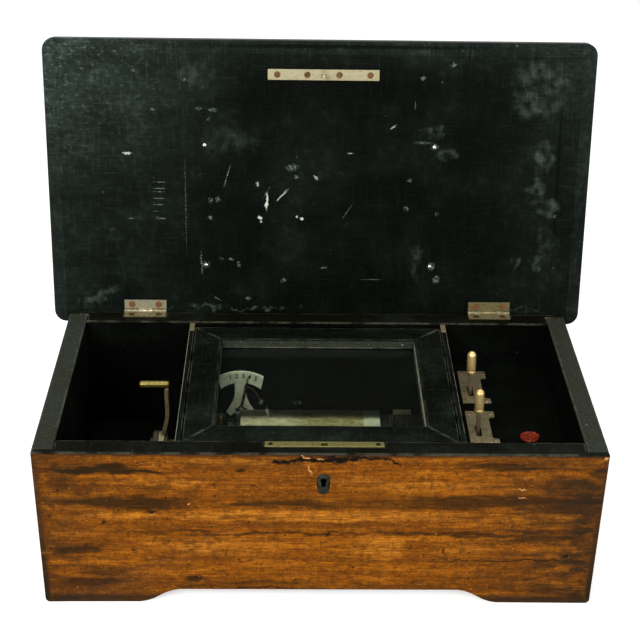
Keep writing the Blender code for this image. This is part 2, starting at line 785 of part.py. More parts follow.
def partition(name, side, parent):
    """A thin wall beside the movement, with the recess for the inner lid's pivot and its rest block."""
    x_low = PARTITION_INNER if side > 0 else -PARTITION_OUTER
    half = INNER_Y - SEAT
    outlines = [rectangle(-half, BOTTOM_TOP + SEAT, half, PARTITION_TOP)]
    if side < 0:
        outlines.append(circle(BARREL_Y, BARREL_Z, BARREL_ARBOR_RADIUS + 0.8, 16))
    wall = plate(name, outlines, PARTITION_THICKNESS, "X", (x_low, 0, 0), ebonised(), parent)
    inner = side * PARTITION_INNER
    block_low = GLASS_FRAME_LOW - SEAT - REST_BLOCK_HEIGHT
    xs = sorted((inner + side * 1.0, inner - side * REST_BLOCK_WIDTH))
    rest = block(
        f"{name}_rest_block",
        (xs[0], -half, block_low),
        (xs[1], -half + 11.0, GLASS_FRAME_LOW - SEAT),
        parent=parent,
        cutter=True,
    )
    join(wall, rest)
    width = PIVOT_PLATE_WIDTH / 2 + SEAT
    leg_depth = PIVOT_PLATE_THICKNESS + SEAT
    xs = sorted((inner - side * 1.0, inner + side * leg_depth))
    leg = block(
        f"{name}_leg_recess",
        (xs[0], GLASS_PIVOT_Y - width, GLASS_PIVOT_Z - PIVOT_PLATE_REACH - SEAT),
        (xs[1], GLASS_PIVOT_Y + width, CASE_HEIGHT),
        parent=parent,
        cutter=True,
    )
    xs = sorted((inner - side * 1.0, inner + side * (PARTITION_THICKNESS + 1.0)))
    flange = block(
        f"{name}_flange_recess",
        (xs[0], GLASS_PIVOT_Y - width, PARTITION_TOP - leg_depth),
        (xs[1], GLASS_PIVOT_Y + PIVOT_FLANGE_LENGTH + SEAT, CASE_HEIGHT),
        parent=parent,
        cutter=True,
    )
    cut(wall, leg, flange)
    return wall


def pivot_bracket(name, side, parent):
    """A brass angle on a partition's top, with the pin that the inner lid swings on."""
    top = PARTITION_TOP
    inner = PARTITION_INNER + 0.05
    width = PIVOT_PLATE_WIDTH / 2
    flange_x = sorted((side * inner, side * (inner + PARTITION_THICKNESS - 0.1)))
    leg_x = sorted((side * inner, side * (inner + PIVOT_PLATE_THICKNESS)))
    bracket = block(
        name,
        (flange_x[0], GLASS_PIVOT_Y - width, top - PIVOT_PLATE_THICKNESS),
        (flange_x[1], GLASS_PIVOT_Y + PIVOT_FLANGE_LENGTH, top),
        brass(),
        parent,
    )
    leg = block(
        f"{name}_leg",
        (leg_x[0], GLASS_PIVOT_Y - width, GLASS_PIVOT_Z - PIVOT_PLATE_REACH),
        (leg_x[1], GLASS_PIVOT_Y + width, top - 0.2),
        parent=parent,
        cutter=True,
    )
    pin = rod(
        f"{name}_pin",
        GLASS_PIVOT_RADIUS,
        (side * (inner + PIVOT_PLATE_THICKNESS / 2), GLASS_PIVOT_Y, GLASS_PIVOT_Z),
        (side * (GLASS_FRAME_HALF - 6.0), GLASS_PIVOT_Y, GLASS_PIVOT_Z),
        "X",
        parent=parent,
        cutter=True,
    )
    return join(bracket, leg, pin)


def leaf_recess(board, side, parent):
    """The shallow mortise for a case-side hinge leaf, and the round for the knuckles."""
    half = HINGE_WIDTH / 2 + SEAT
    x = side * HINGE_X
    depth = HINGE_LEAF_THICKNESS + SEAT
    name = "left" if side < 0 else "right"
    leaf = block(
        f"case_leaf_recess_{name}",
        (x - half, HINGE_Y - HINGE_LEAF - SEAT, CASE_HEIGHT - depth),
        (x + half, HINGE_Y + 1, CASE_HEIGHT + 1),
        parent=parent,
        cutter=True,
    )
    knuckle = rod(
        f"case_knuckle_recess_{name}",
        HINGE_KNUCKLE_RADIUS + SEAT + 0.1,
        (x - half, HINGE_Y, CASE_HEIGHT),
        (x + half, HINGE_Y, CASE_HEIGHT),
        "X",
        parent=parent,
        cutter=True,
    )
    cut(board, leaf, knuckle)


def knuckle_mesh(name, length):
    """One bored knuckle of a hinge."""
    rings = [circle(0, 0, HINGE_KNUCKLE_RADIUS, 18), circle(0, 0, HINGE_PIN_RADIUS + RUN, 12)]
    return flat_mesh(name, rings, length, "X")


def hinges(parent, lid):
    """Two butt hinges: a leaf on the rim, a leaf under the lid, and the pin between them."""
    third = HINGE_WIDTH / 3
    tuck = HINGE_KNUCKLE_RADIUS - 0.6
    for side, name in ((-1, "left"), (1, "right")):
        x = side * HINGE_X
        start = x - HINGE_WIDTH / 2
        case_leaf = block(
            f"hinge_leaf_case_{name}",
            (start, HINGE_Y - HINGE_LEAF, CASE_HEIGHT - HINGE_LEAF_THICKNESS),
            (start + HINGE_WIDTH, HINGE_Y - tuck, CASE_HEIGHT),
            aged_brass(),
            parent,
        )
        middle_gap = block(
            f"case_leaf_gap_{name}",
            (start + third - SEAT / 2, HINGE_Y - HINGE_KNUCKLE_RADIUS - SEAT, CASE_HEIGHT - 5),
            (start + 2 * third + SEAT / 2, HINGE_Y + 5, CASE_HEIGHT + 5),
            parent=parent,
            cutter=True,
        )
        cut(case_leaf, middle_gap)
        for number, offset in ((1, 0.0), (2, 2 * third + SEAT / 2)):
            mesh = knuckle_mesh(f"case_knuckle_{name}_{number}", third - SEAT / 2)
            place = (start + offset, HINGE_Y, CASE_HEIGHT)
            join(case_leaf, add_object(mesh.name, mesh, None, parent, place, cutter=True))
        lid_leaf = block(
            f"hinge_leaf_lid_{name}",
            (start, -HINGE_LEAF, LID_GAP),
            (start + HINGE_WIDTH, -tuck, LID_GAP + HINGE_LEAF_THICKNESS),
            aged_brass(),
            lid,
        )
        for number, offset in ((1, -1.0), (2, 2 * third - SEAT / 2)):
            gap = block(
                f"lid_leaf_gap_{name}_{number}",
                (start + offset, -HINGE_KNUCKLE_RADIUS - SEAT, -5),
                (start + offset + third + 1.0 + SEAT / 2, 5, 5),
                parent=lid,
                cutter=True,
            )
            cut(lid_leaf, gap)
        mesh = knuckle_mesh(f"lid_knuckle_{name}", third - SEAT)
        join(lid_leaf, add_object(mesh.name, mesh, None, lid, (start + third + SEAT / 2, 0, 0), cutter=True))
        rod(
            f"hinge_pin_{name}",
            HINGE_PIN_RADIUS,
            (start, HINGE_Y, CASE_HEIGHT),
            (start + HINGE_WIDTH, HINGE_Y, CASE_HEIGHT),
            "X",
            aged_brass(),
            parent,
            sides=12,
        )


def lid_blank(name):
    """The whole lid's mesh with its moulded edge. The lid's frame is closed, with its axis at the hinge."""
    outline = round_rectangle(-LID_HALF_WIDTH, LID_FRONT, LID_HALF_WIDTH, LID_BACK, LID_CORNER_RADIUS)
    mesh = flat_mesh(name, [outline], LID_THICKNESS, "Z")
    bm = bmesh.new()
    bm.from_mesh(mesh)
    bmesh.ops.dissolve_limit(bm, angle_limit=0.01, verts=bm.verts, edges=bm.edges)
    for height, radius, steps in ((LID_THICKNESS, LID_TOP_ROUND, LID_TOP_STEPS), (0.0, LID_UNDER_ROUND, 2)):
        level = height * MM
        rim = [e for e in bm.edges if all(abs(v.co.z - level) < 0.000001 for v in e.verts)]
        bmesh.ops.bevel(bm, geom=rim, offset=radius * MM, segments=steps, profile=0.5, affect="EDGES")
    bm.to_mesh(mesh)
    bm.free()
    return mesh


def lid_region(name, corners, lid):
    """A prism that keeps one strip, or the panel, of the lid's blank."""
    return plate(name, [corners], LID_THICKNESS + 4, "Z", (0, 0, LID_GAP - 2), parent=lid, cutter=True)


def outer_lid(lid):
    """The lid's panel with mitred mouldings on its front and ends."""
    w = LID_HALF_WIDTH
    m = LID_MOULDING_WIDTH
    g = SEAT / 2
    out = 5.0
    front, back = LID_FRONT, LID_BACK
    regions = {
        "lid_panel": rectangle(-w + m + g, front + m + g, w - m - g, back + out),
        "lid_moulding_front": [
            (-w - out + g * 1.5, front - out),
            (w + out - g * 1.5, front - out),
            (w - m - g * 1.5, front + m - g),
            (-w + m + g * 1.5, front + m - g),
        ],
        "lid_moulding_left": [
            (-w - out, front - out + g * 1.5),
            (-w + m - g, front + m + g * 1.5),
            (-w + m - g, back + out),
            (-w - out, back + out),
        ],
        "lid_moulding_right": [
            (w + out, front - out + g * 1.5),
            (w + out, back + out),
            (w - m + g, back + out),
            (w - m + g, front + m + g * 1.5),
        ],
    }
    for name, corners in regions.items():
        piece = add_object(name, lid_blank(name), ebonised(), lid, (0, 0, LID_GAP))
        keep_inside(piece, lid_region(f"{name}_region", corners, lid))
        if name == "lid_panel":
            panel = piece
    for side, name in ((-1, "left"), (1, "right")):
        half = HINGE_WIDTH / 2 + SEAT
        x = side * HINGE_X
        leaf = block(
            f"lid_leaf_recess_{name}",
            (x - half, -HINGE_LEAF - SEAT, LID_GAP - 1),
            (x + half, 1, LID_GAP + HINGE_LEAF_THICKNESS + SEAT),
            parent=lid,
            cutter=True,
        )
        groove = rod(
            f"lid_knuckle_recess_{name}",
            HINGE_KNUCKLE_RADIUS + SEAT + 0.1,
            (x - half, 0, 0),
            (x + half, 0, 0),
            "X",
            parent=lid,
            cutter=True,
        )
        cut(panel, leaf, groove)
    strike_plate(panel, lid)


def strike_plate(panel, lid):
    """The plate under the lid's front edge, with the hook that the lock's bolt holds."""
    y = LOCK_Y - HINGE_Y
    half_x, half_y = STRIKE_LENGTH / 2, STRIKE_WIDTH / 2
    recess = block(
        "strike_recess",
        (LOCK_X - half_x - SEAT, y - half_y - SEAT, LID_GAP - 1),
        (LOCK_X + half_x + SEAT, y + half_y + SEAT, LID_GAP + STRIKE_THICKNESS + SEAT),
        parent=lid,
        cutter=True,
    )
    cut(panel, recess)
    strike = block(
        "strike_plate",
        (LOCK_X - half_x, y - half_y, LID_GAP),
        (LOCK_X + half_x, y + half_y, LID_GAP + STRIKE_THICKNESS),
        aged_brass(),
        lid,
    )
    radius = HOOK_WIDTH / 2
    tip = -HOOK_LENGTH + LID_GAP + radius
    outline = [(-radius, 0.8), *arc(0, tip, radius, 180, 360, 8), (radius, 0.8)]
    hook = plate(
        "strike_hook",
        [outline],
        HOOK_THICKNESS,
        "Y",
        (LOCK_X, y + HOOK_THICKNESS / 2, 0),
        parent=lid,
        cutter=True,
    )
    eye_z = bolt_height() - CASE_HEIGHT
    eye = block(
        "hook_eye",
        (LOCK_X - HOOK_WIDTH, y - HOOK_EYE_RADIUS, eye_z - HOOK_EYE_RADIUS),
        (LOCK_X + HOOK_WIDTH, y + HOOK_EYE_RADIUS, eye_z + HOOK_EYE_RADIUS),
        parent=lid,
        cutter=True,
    )
    join(strike, hook)
    cut(strike, eye)


def rail_mesh(name, length, width, mitres, height):
    """A mitred rail of the glass frame, with its length along +X and its outer edge at y = 0.

    mitres says how far its near and far end run in for each millimetre of width.
    """
    rebate = width - GLASS_REBATE_WIDTH
    profile = [
        (0.0, 0.0),
        (0.0, height),
        (width - 1.4, height),
        (width, height - 1.4),
        (width, GLASS_REBATE_HEIGHT),
        (rebate, GLASS_REBATE_HEIGHT),
        (rebate, 0.0),
    ]
    mesh = flat_mesh(name, [profile], length, "X")
    bm = bmesh.new()
    bm.from_mesh(mesh)
    for vert in bm.verts:
        if vert.co.x > length / 2 * MM:
            vert.co.x -= vert.co.y * mitres[1]
        else:
            vert.co.x += vert.co.y * mitres[0]
    bm.to_mesh(mesh)
    bm.free()
    return mesh


def glass_lid(inner_lid):
    """The inner lid: four mitred rails round a pane. Its frame is the pivot's axis."""
    half = GLASS_FRAME_HALF
    front = GLASS_FRAME_FRONT - GLASS_PIVOT_Y
    back = GLASS_FRAME_BACK - GLASS_PIVOT_Y
    low = GLASS_FRAME_LOW - GLASS_PIVOT_Z
    depth = back - front
    front_mitre = STILE_WIDTH / FRONT_RAIL_WIDTH
    back_mitre = STILE_WIDTH / BACK_RAIL_WIDTH
    trim = 0.12
    sides = (
        ("glass_frame_front", 2 * half, FRONT_RAIL_WIDTH, (front_mitre, front_mitre), (-half, front), 0),
        ("glass_frame_right", depth, STILE_WIDTH, (1 / front_mitre, 1 / back_mitre), (half, front), 90),
        ("glass_frame_back", 2 * half, BACK_RAIL_WIDTH, (back_mitre, back_mitre), (half, back), 180),
        ("glass_frame_left", depth, STILE_WIDTH, (1 / back_mitre, 1 / front_mitre), (-half, back), 270),
    )
    rails = {}
    for name, length, width, mitres, (x, y), turn in sides:
        shorter = length - 4 * trim
        along = Vector((math.cos(math.radians(turn)), math.sin(math.radians(turn)), 0)) * 2 * trim
        mesh = rail_mesh(name, shorter, width, mitres, GLASS_FRAME_HEIGHT)
        rail = add_object(name, mesh, ebonised(), inner_lid, (x + along.x, y + along.y, low))
        rail.rotation_euler.z = math.radians(turn)
        rails[name] = rail
    for side, name in ((-1, "left"), (1, "right")):
        hole = rod(
            f"pivot_hole_{name}",
            GLASS_PIVOT_RADIUS + RUN,
            (side * (half + 1), 0, 0),
            (side * (half - 7.0), 0, 0),
            "X",
            parent=inner_lid,
            cutter=True,
        )
        cut(rails[f"glass_frame_{name}"], hole)
        cut(rails["glass_frame_back"], hole)
    sight_x = half - STILE_WIDTH
    rebate_gap = GLASS_REBATE_WIDTH - SEAT
    glass_top = low + GLASS_REBATE_HEIGHT - SEAT
    block(
        "glass_pane",
        (-sight_x - rebate_gap, front + FRONT_RAIL_WIDTH - rebate_gap, glass_top - GLASS_THICKNESS),
        (sight_x + rebate_gap, back - BACK_RAIL_WIDTH + rebate_gap, glass_top),
        clear_glass(),
        inner_lid,
    )


def bedplate(parent):
    """The iron plate that carries the movement, with a window for the barrel and four feet."""
    half_x = PARTITION_INNER - BED_SIDE_GAP
    half_y = INNER_Y - BED_END_GAP
    outline = round_rectangle(-half_x, -half_y, half_x, half_y, BED_CORNER, 3)
    reach = BARREL_RADIUS + 2.0
    drop = BARREL_Z - BED_TOP
    half_window = math.sqrt(reach * reach - drop * drop) + 1.0
    left = BARREL_LEFT - SEAT
    window = rectangle(left, BARREL_Y - half_window, GREAT_WHEEL_RIGHT + SEAT, BARREL_Y + half_window)
    bed = plate("bedplate", [outline, window], BED_THICKNESS, "Z", (0, 0, BED_UNDER), iron(), parent)
    for number, (sx, sy) in enumerate(((-1, -1), (1, -1), (1, 1), (-1, 1))):
        x = sx * (half_x - BED_FOOT_RADIUS - 3.0)
        y = sy * (half_y - BED_FOOT_RADIUS - 3.0)
        foot = rod(
            f"bed_foot_{number}",
            BED_FOOT_RADIUS,
            (x, y, BOTTOM_TOP + SEAT),
            (x, y, BED_UNDER + 1.0),
            "Z",
            parent=parent,
            cutter=True,
        )
        join(bed, foot)


def arch_plate(name, y, z, head, foot_length, bore, thickness, x, material, parent):
    """A plate on the bedplate with a round head about a shaft and a flared foot."""
    base = BED_TOP + SEAT
    half = foot_length / 2
    outline = [(y - half, base), (y + half, base), (y + half, base + 4.0)]
    outline += arc(y, z, head, -15, 195, 12)
    outline += [(y - half, base + 4.0)]
    return plate(name, [outline, circle(y, z, bore, 16)], thickness, "X", (x, 0, 0), material, parent)


def winding_lever(lever):
    """The pumped lever: a ratchet hub, a bowed arm and a brass grip. Its frame is the barrel's axis."""
    waist_start = HUB_FLANGE
    waist_end = HUB_LENGTH - 2.0
    bore = BARREL_ARBOR_RADIUS + RUN
    profile = [
        (bore, 0.0),
        (HUB_RADIUS - 1.2, 0.0),
        (HUB_RADIUS, 1.2),
        (HUB_RADIUS, waist_start),
        (HUB_WAIST_RADIUS, waist_start),
        (HUB_WAIST_RADIUS, waist_end),
        (HUB_COLLAR_RADIUS, waist_end),
        (HUB_COLLAR_RADIUS, HUB_LENGTH),
        (bore, HUB_LENGTH),
    ]
    turned("lever_hub", profile, "X", (HUB_LEFT, 0, 0), brass(), lever, steps=24, bored=True)
    lever_arm(lever, HUB_LEFT + waist_start + SEAT, waist_end - waist_start - 2 * SEAT)
    grip_centre = GRIP_LEFT + GRIP_LENGTH / 2
    edge = 0.5
    grip = turned(
        "lever_grip",
        [
            (0.0, -GRIP_LENGTH / 2),
            (GRIP_RADIUS - edge, -GRIP_LENGTH / 2),
            (GRIP_RADIUS, -GRIP_LENGTH / 2 + edge),
            (GRIP_RADIUS, GRIP_LENGTH / 2 - edge),
            (GRIP_RADIUS - edge, GRIP_LENGTH / 2),
            (0.0, GRIP_LENGTH / 2),
        ],
        "X",
        (grip_centre, 0, LEVER_LENGTH),
        brass(),
        lever,
        steps=20,
    )
    socket = rod(
        "grip_socket",
        GRIP_TENON_RADIUS + SEAT,
        (LEVER_TOP_X, 0, LEVER_LENGTH - GRIP_RADIUS - 1),
        (LEVER_TOP_X, 0, LEVER_LENGTH + 0.8),
        "Z",
        parent=lever,
        sides=12,
        cutter=True,
    )
    cut(grip, socket)
    arbor_start = HUB_LEFT - SEAT - ARBOR_NUT_LENGTH
    nut_end = HUB_LEFT - SEAT
    arbor_end = RIGHT_BRIDGE_LEFT + BRIDGE_THICKNESS + 0.8
    turned(
        "barrel_arbor",
        [
            (0.0, 0.0),
            (ARBOR_NUT_RADIUS - 0.8, 0.0),
            (ARBOR_NUT_RADIUS, 0.8),
            (ARBOR_NUT_RADIUS, nut_end - arbor_start),
            (BARREL_ARBOR_RADIUS, nut_end - arbor_start),
            (BARREL_ARBOR_RADIUS, arbor_end - arbor_start),
            (0.0, arbor_end - arbor_start),
        ],
        "X",
        (arbor_start, 0, 0),
        steel(),
        lever,
        steps=20,
    )


def lever_arm(lever, eye_left, eye_thickness):
    """The bowed arm, with the eye that sits in the hub's waist and the tenon that holds the grip."""
    inner = HUB_WAIST_RADIUS + SEAT
    outer = HUB_RADIUS - 0.4
    top = LEVER_LENGTH - GRIP_RADIUS - SEAT
    foot = (inner + outer) / 2
    eye_centre = eye_left + eye_thickness / 2

    def centre(share):
        straight = eye_centre + (LEVER_TOP_X - eye_centre) * share
        return straight + LEVER_BOW * math.sin(math.pi * share) ** 2

    steps = 12
    heights = [foot + (top - foot) * i / steps for i in range(steps + 1)]
    half = LEVER_THICKNESS / 2
    right = [(centre(z / top) + half, z) for z in heights]
    left = [(centre(z / top) - half, z) for z in reversed(heights)]
    arm = plate("lever_arm", [right + left], LEVER_WIDTH, "Y", (0, LEVER_WIDTH / 2, 0), steel(), lever)
    mesh = flat_mesh("lever_eye", [circle(0, 0, outer, 24), circle(0, 0, inner, 24)], eye_thickness, "X")
    eye = add_object("lever_eye", mesh, None, lever, (eye_left, 0, 0), cutter=True)
    tenon = rod(
        "grip_tenon",
        GRIP_TENON_RADIUS,
        (LEVER_TOP_X, 0, top - 1.5),
        (LEVER_TOP_X, 0, LEVER_LENGTH + 0.4),
        "Z",
        parent=lever,
        sides=12,
        cutter=True,
    )
    join(arm, eye, tenon)


def spring_barrel(barrel):
    """The drum that holds the mainspring, and the great wheel on its right side."""
    bore = BARREL_ARBOR_RADIUS + RUN
    length = BARREL_LENGTH
    rim = BARREL_RIM
    groove = BARREL_RADIUS - 0.8
    turned(
        "spring_barrel",
        [
            (bore, 0.0),
            (BARREL_RADIUS, 0.0),
            (BARREL_RADIUS, rim),
            (groove, rim),
            (groove, length - rim),
            (BARREL_RADIUS, length - rim),
            (BARREL_RADIUS, length),
            (bore, length),
        ],
        "X",
        (BARREL_LEFT, 0, 0),
        brass(),
        barrel,
        steps=36,
        bored=True,
    )
    towards = math.atan2(CYLINDER_Z - BARREL_Z, CYLINDER_Y - BARREL_Y)
    outline = gear(GREAT_WHEEL_TEETH, DRIVE_MODULE, towards)
    plate(
        "great_wheel",
        [outline, circle(0, 0, bore, 16)],
        GEAR_THICKNESS,
        "X",
        (GREAT_WHEEL_LEFT, 0, 0),
        brass(),
        barrel,
    )


def cylinder_arbor(arbor):
    """The cylinder's shaft with its driven wheel and the wheel that turns the governor."""
    radius = CYLINDER_ARBOR_RADIUS
    start = GREAT_WHEEL_LEFT - 0.5
    end = GOVERNOR_WHEEL_LEFT + GOVERNOR_PLATE + 0.7
    turned(
        "cylinder_arbor",
        [(0.0, 0.0), (radius, 0.0), (radius, end - start), (0.0, end - start)],
        "X",
        (start, 0, 0),
        steel(),
        arbor,
        steps=18,
    )
    bore = circle(0, 0, radius + 0.1, 16)
    back = math.atan2(BARREL_Z - CYLINDER_Z, BARREL_Y - CYLINDER_Y)
    outline = gear(CYLINDER_WHEEL_TEETH, DRIVE_MODULE, back + math.pi / CYLINDER_WHEEL_TEETH)
    plate("cylinder_wheel", [outline, bore], GEAR_THICKNESS, "X", (GREAT_WHEEL_LEFT, 0, 0), brass(), arbor)
    outline = gear(GOVERNOR_WHEEL_TEETH, GOVERNOR_MODULE, -math.pi / 2, backlash=0.3)
    plate(
        "governor_drive_wheel",
        [outline, bore],
        GOVERNOR_PLATE,
        "X",
        (GOVERNOR_WHEEL_LEFT, 0, 0),
        brass(),
        arbor,
    )


def pinned_cylinder(cylinder):
    """The hollow brass cylinder, and the toothed change wheel on its left end."""
    bore = CYLINDER_ARBOR_RADIUS + RUN
    inner = CYLINDER_RADIUS - CYLINDER_WALL
    end = CYLINDER_END_THICKNESS
    length = CYLINDER_LENGTH
    body = turned(
        "cylinder",
        [
            (bore, 0.0),
            (CYLINDER_RADIUS, 0.0),
            (CYLINDER_RADIUS, length),
            (bore, length),
            (bore, length - end),
            (inner, length - end),
            (inner, end),
            (bore, end),
        ],
        "X",
        (CYLINDER_LEFT, 0, 0),
        brass(),
        cylinder,
        steps=40,
        bored=True,
    )
    smooth(body)
    points = []
    step = 2 * math.pi / CHANGE_WHEEL_TEETH
    tip, root = CYLINDER_RADIUS - 0.1, CYLINDER_RADIUS - 2.2
    for i in range(CHANGE_WHEEL_TEETH):
        for share, radius in ((0.0, tip), (0.6, tip), (0.8, root)):
            angle = step * (i + share)
            points.append((radius * math.cos(angle), radius * math.sin(angle)))
    left = CYLINDER_LEFT - SEAT - CHANGE_WHEEL_THICKNESS
    plate(
        "change_wheel",
        [points, circle(0, 0, bore, 16)],
        CHANGE_WHEEL_THICKNESS,
        "X",
        (left, 0, 0),
        dark_steel(),
        cylinder,
    )


def cylinder_bearings(parent):
    """The two posts that carry the cylinder's shaft."""
    bore = CYLINDER_ARBOR_RADIUS + RUN
    change_left = CYLINDER_LEFT - SEAT - CHANGE_WHEEL_THICKNESS
    left = change_left - TUNE_SHIFT_LEFT - 0.8 - CYLINDER_BEARING_THICKNESS
    right = CYLINDER_RIGHT + TUNE_SHIFT_RIGHT + 0.8
    for name, x in (("cylinder_bearing_left", left), ("cylinder_bearing_right", right)):
        arch_plate(
            name,
            CYLINDER_Y,
            CYLINDER_Z,
            CYLINDER_BEARING_HEAD,
            CYLINDER_BEARING_FOOT,
            bore,
            CYLINDER_BEARING_THICKNESS,
            x,
            dark_steel(),
            parent,
        )


def comb_tip():
    return CYLINDER_Y - CYLINDER_RADIUS - COMB_TIP_GAP


def comb(parent):
    """The steel comb: its teeth shorten from bass to treble and point at the cylinder's axis."""
    tip = comb_tip()
    width = COMB_TEETH * COMB_PITCH - COMB_SLOT
    heel = tip - COMB_BASS_LENGTH - COMB_HEEL

    def root(x):
        share = x / width
        return tip - COMB_BASS_LENGTH + (COMB_BASS_LENGTH - COMB_TREBLE_LENGTH) * share

    outline = [(0.0, heel)]
    for i in range(COMB_TEETH):
        start = i * COMB_PITCH
        end = start + COMB_PITCH - COMB_SLOT
        if i:
            outline.append((start, root(start)))
        outline += [(start, tip), (end, tip)]
        if i < COMB_TEETH - 1:
            outline.append((end, root(end)))
    outline.append((width, heel))
    outline.reverse()
    low = CYLINDER_Z - COMB_THICKNESS / 2
    plate("comb", [outline], COMB_THICKNESS, "Z", (COMB_LEFT, 0, low), steel(), parent)
    top = low - SEAT
    back = heel
    front = heel + COMB_HEEL - 1.0
    foot_back = back - 7.0
    base = BED_TOP + SEAT
    profile = [
        (foot_back, base),
        (foot_back + COMB_BASE_FOOT, base),
        (foot_back + COMB_BASE_FOOT, base + 5.0),
        (front, base + 14.0),
        (front, top),
        (back, top),
        (back, base + 12.0),
        (foot_back, base + 5.0),
    ]
    plate("comb_base", [profile], width, "X", (COMB_LEFT, 0, 0), iron(), parent)


def governor(parent, governor_arbor, worm):
    """The air governor: its brass frame, the pinion with the worm wheel, and the worm with its fan."""
    left, right = GOVERNOR_LEFT, GOVERNOR_RIGHT
    base = BED_TOP + SEAT
    t = GOVERNOR_PLATE
    outer = rectangle(left, base, right, GOVERNOR_TOP)
    inner = rectangle(left + t, base + 3.0, right - t, GOVERNOR_TOP - 2.5)
    frame = plate(
        "governor_frame",
        [outer, inner],
        GOVERNOR_BACK - GOVERNOR_FRONT,
        "Y",
        (0, GOVERNOR_BACK, 0),
        brass(),
        parent,
    )
    notch = block(
        "governor_notch",
        (left - 5, GOVERNOR_FRONT - 5, GOVERNOR_Z + 9.0),
        (right + 5, WORM_Y - 3.5, GOVERNOR_TOP + 5),
        parent=parent,
        cutter=True,
    )
    shaft_hole = rod(
        "governor_shaft_hole",
        GOVERNOR_ARBOR_RADIUS + RUN,
        (left - 2, CYLINDER_Y, GOVERNOR_Z),
        (right + 2, CYLINDER_Y, GOVERNOR_Z),
        "X",
        parent=parent,
        cutter=True,
    )
    worm_hole = rod(
        "worm_pivot_holes",
        WORM_SPINDLE_RADIUS + RUN,
        (WORM_X, WORM_Y, base + 0.8),
        (WORM_X, WORM_Y, GOVERNOR_TOP + 2),
        "Z",
        parent=parent,
        cutter=True,
    )
    cut(frame, notch, shaft_hole, worm_hole)

    pinion_left = GOVERNOR_WHEEL_LEFT - 0.3
    outline = gear(
        GOVERNOR_PINION_TEETH,
        GOVERNOR_MODULE,
        math.pi / 2 + math.pi / GOVERNOR_PINION_TEETH,
        addendum=0.7,
        backlash=0.3,
    )
    pinion = plate(
        "governor_pinion_arbor", [outline], 2.6, "X", (pinion_left, 0, 0), steel(), governor_arbor
    )
    shaft = rod(
        "governor_shaft",
        GOVERNOR_ARBOR_RADIUS,
        (pinion_left - 0.4, 0, 0),
        (right + 0.5, 0, 0),
        "X",
        parent=governor_arbor,
        sides=12,
        cutter=True,
    )
    wheel_width = 1.4
    outline = gear(
        WORM_WHEEL_TEETH,
        2 * WORM_WHEEL_RADIUS / WORM_WHEEL_TEETH,
        math.pi / WORM_WHEEL_TEETH,
        addendum=0.7,
        dedendum=0.9,
        backlash=0.5,
    )
    mesh = flat_mesh("worm_wheel", [outline], wheel_width, "X")
    wheel = add_object(
        "worm_wheel", mesh, None, governor_arbor, (WORM_X - wheel_width / 2, 0, 0), cutter=True
    )
    join(pinion, shaft, wheel)

    bottom = base + 1.2 - GOVERNOR_Z
    top = GOVERNOR_TOP - 0.6 - GOVERNOR_Z
    spindle = rod(
        "worm_and_fan", WORM_SPINDLE_RADIUS, (0, 0, bottom), (0, 0, top), "Z", steel(), worm, sides=12
    )
    fan_top = GOVERNOR_TOP - 4.0 - GOVERNOR_Z
    fan = block(
        "fan_blades",
        (-FAN_WIDTH / 2, -FAN_THICKNESS / 2, fan_top - FAN_HEIGHT),
        (FAN_WIDTH / 2, FAN_THICKNESS / 2, fan_top),
        parent=worm,
        cutter=True,
    )
    join(spindle, worm_thread(worm), fan)


def worm_thread(worm):
    """The worm's helical thread, in mesh with a tooth gap of the worm wheel at the wheel's +Y side."""
    turns = WORM_LENGTH / WORM_PITCH
    steps = 12
    curve = bpy.data.curves.new("worm_thread", "CURVE")
    curve.dimensions = "3D"
    curve.bevel_depth = WORM_THREAD * MM
    curve.bevel_resolution = 0
    curve.use_fill_caps = True
    spline = curve.splines.new("POLY")
    count = round(turns * steps)
    spline.points.add(count)
    for i, point in enumerate(spline.points):
        angle = 2 * math.pi * (i - count / 2) / steps
        along = WORM_PITCH * (angle / (2 * math.pi) + 0.25)
        point.co = (
            WORM_HELIX_RADIUS * math.cos(angle) * MM,
            WORM_HELIX_RADIUS * math.sin(angle) * MM,
            along * MM,
            1,
        )
    guide = bpy.data.objects.new("worm_thread_guide", curve)
    bpy.context.scene.collection.objects.link(guide)
    bpy.context.view_layer.update()
    graph = bpy.context.evaluated_depsgraph_get()
    mesh = bpy.data.meshes.new_from_object(guide.evaluated_get(graph))
    bpy.data.objects.remove(guide)
    bpy.data.curves.remove(curve)
    bm = bmesh.new()
    bm.from_mesh(mesh)
    bmesh.ops.remove_doubles(bm, verts=bm.verts, dist=0.000001)
    bmesh.ops.recalc_face_normals(bm, faces=bm.faces)
    bm.to_mesh(mesh)
    bm.free()
    return add_object("worm_thread", mesh, None, worm, cutter=True)


def dial_outline():
    """The tune dial's face: an arched band on a stem that parts into two legs."""
    right_end = 90 - DIAL_OUTER_ANGLE
    inner_end = 90 - DIAL_INNER_ANGLE
    stem = 5.2
    stem_angle = math.degrees(math.asin(stem / DIAL_INNER_RADIUS))
    points = arc(0, 0, DIAL_OUTER_RADIUS, right_end, 180 - right_end, 16)
    points += arc(0, 0, DIAL_INNER_RADIUS, 180 - inner_end, 90 + stem_angle, 6)
    points += [(-5.1, 15.0), (-6.0, 10.0), (-8.0, 4.5), (-12.7, -4.2), (-9.1, -8.0)]
    points += [(-5.6, -4.6), (0.0, -3.8), (4.6, -4.6), (8.0, -6.2), (11.0, -3.4)]
    points += [(7.0, 4.5), (5.0, 10.0), (4.4, 15.0)]
    points += arc(0, 0, DIAL_INNER_RADIUS, 90 - stem_angle, inner_end, 6)
    return points


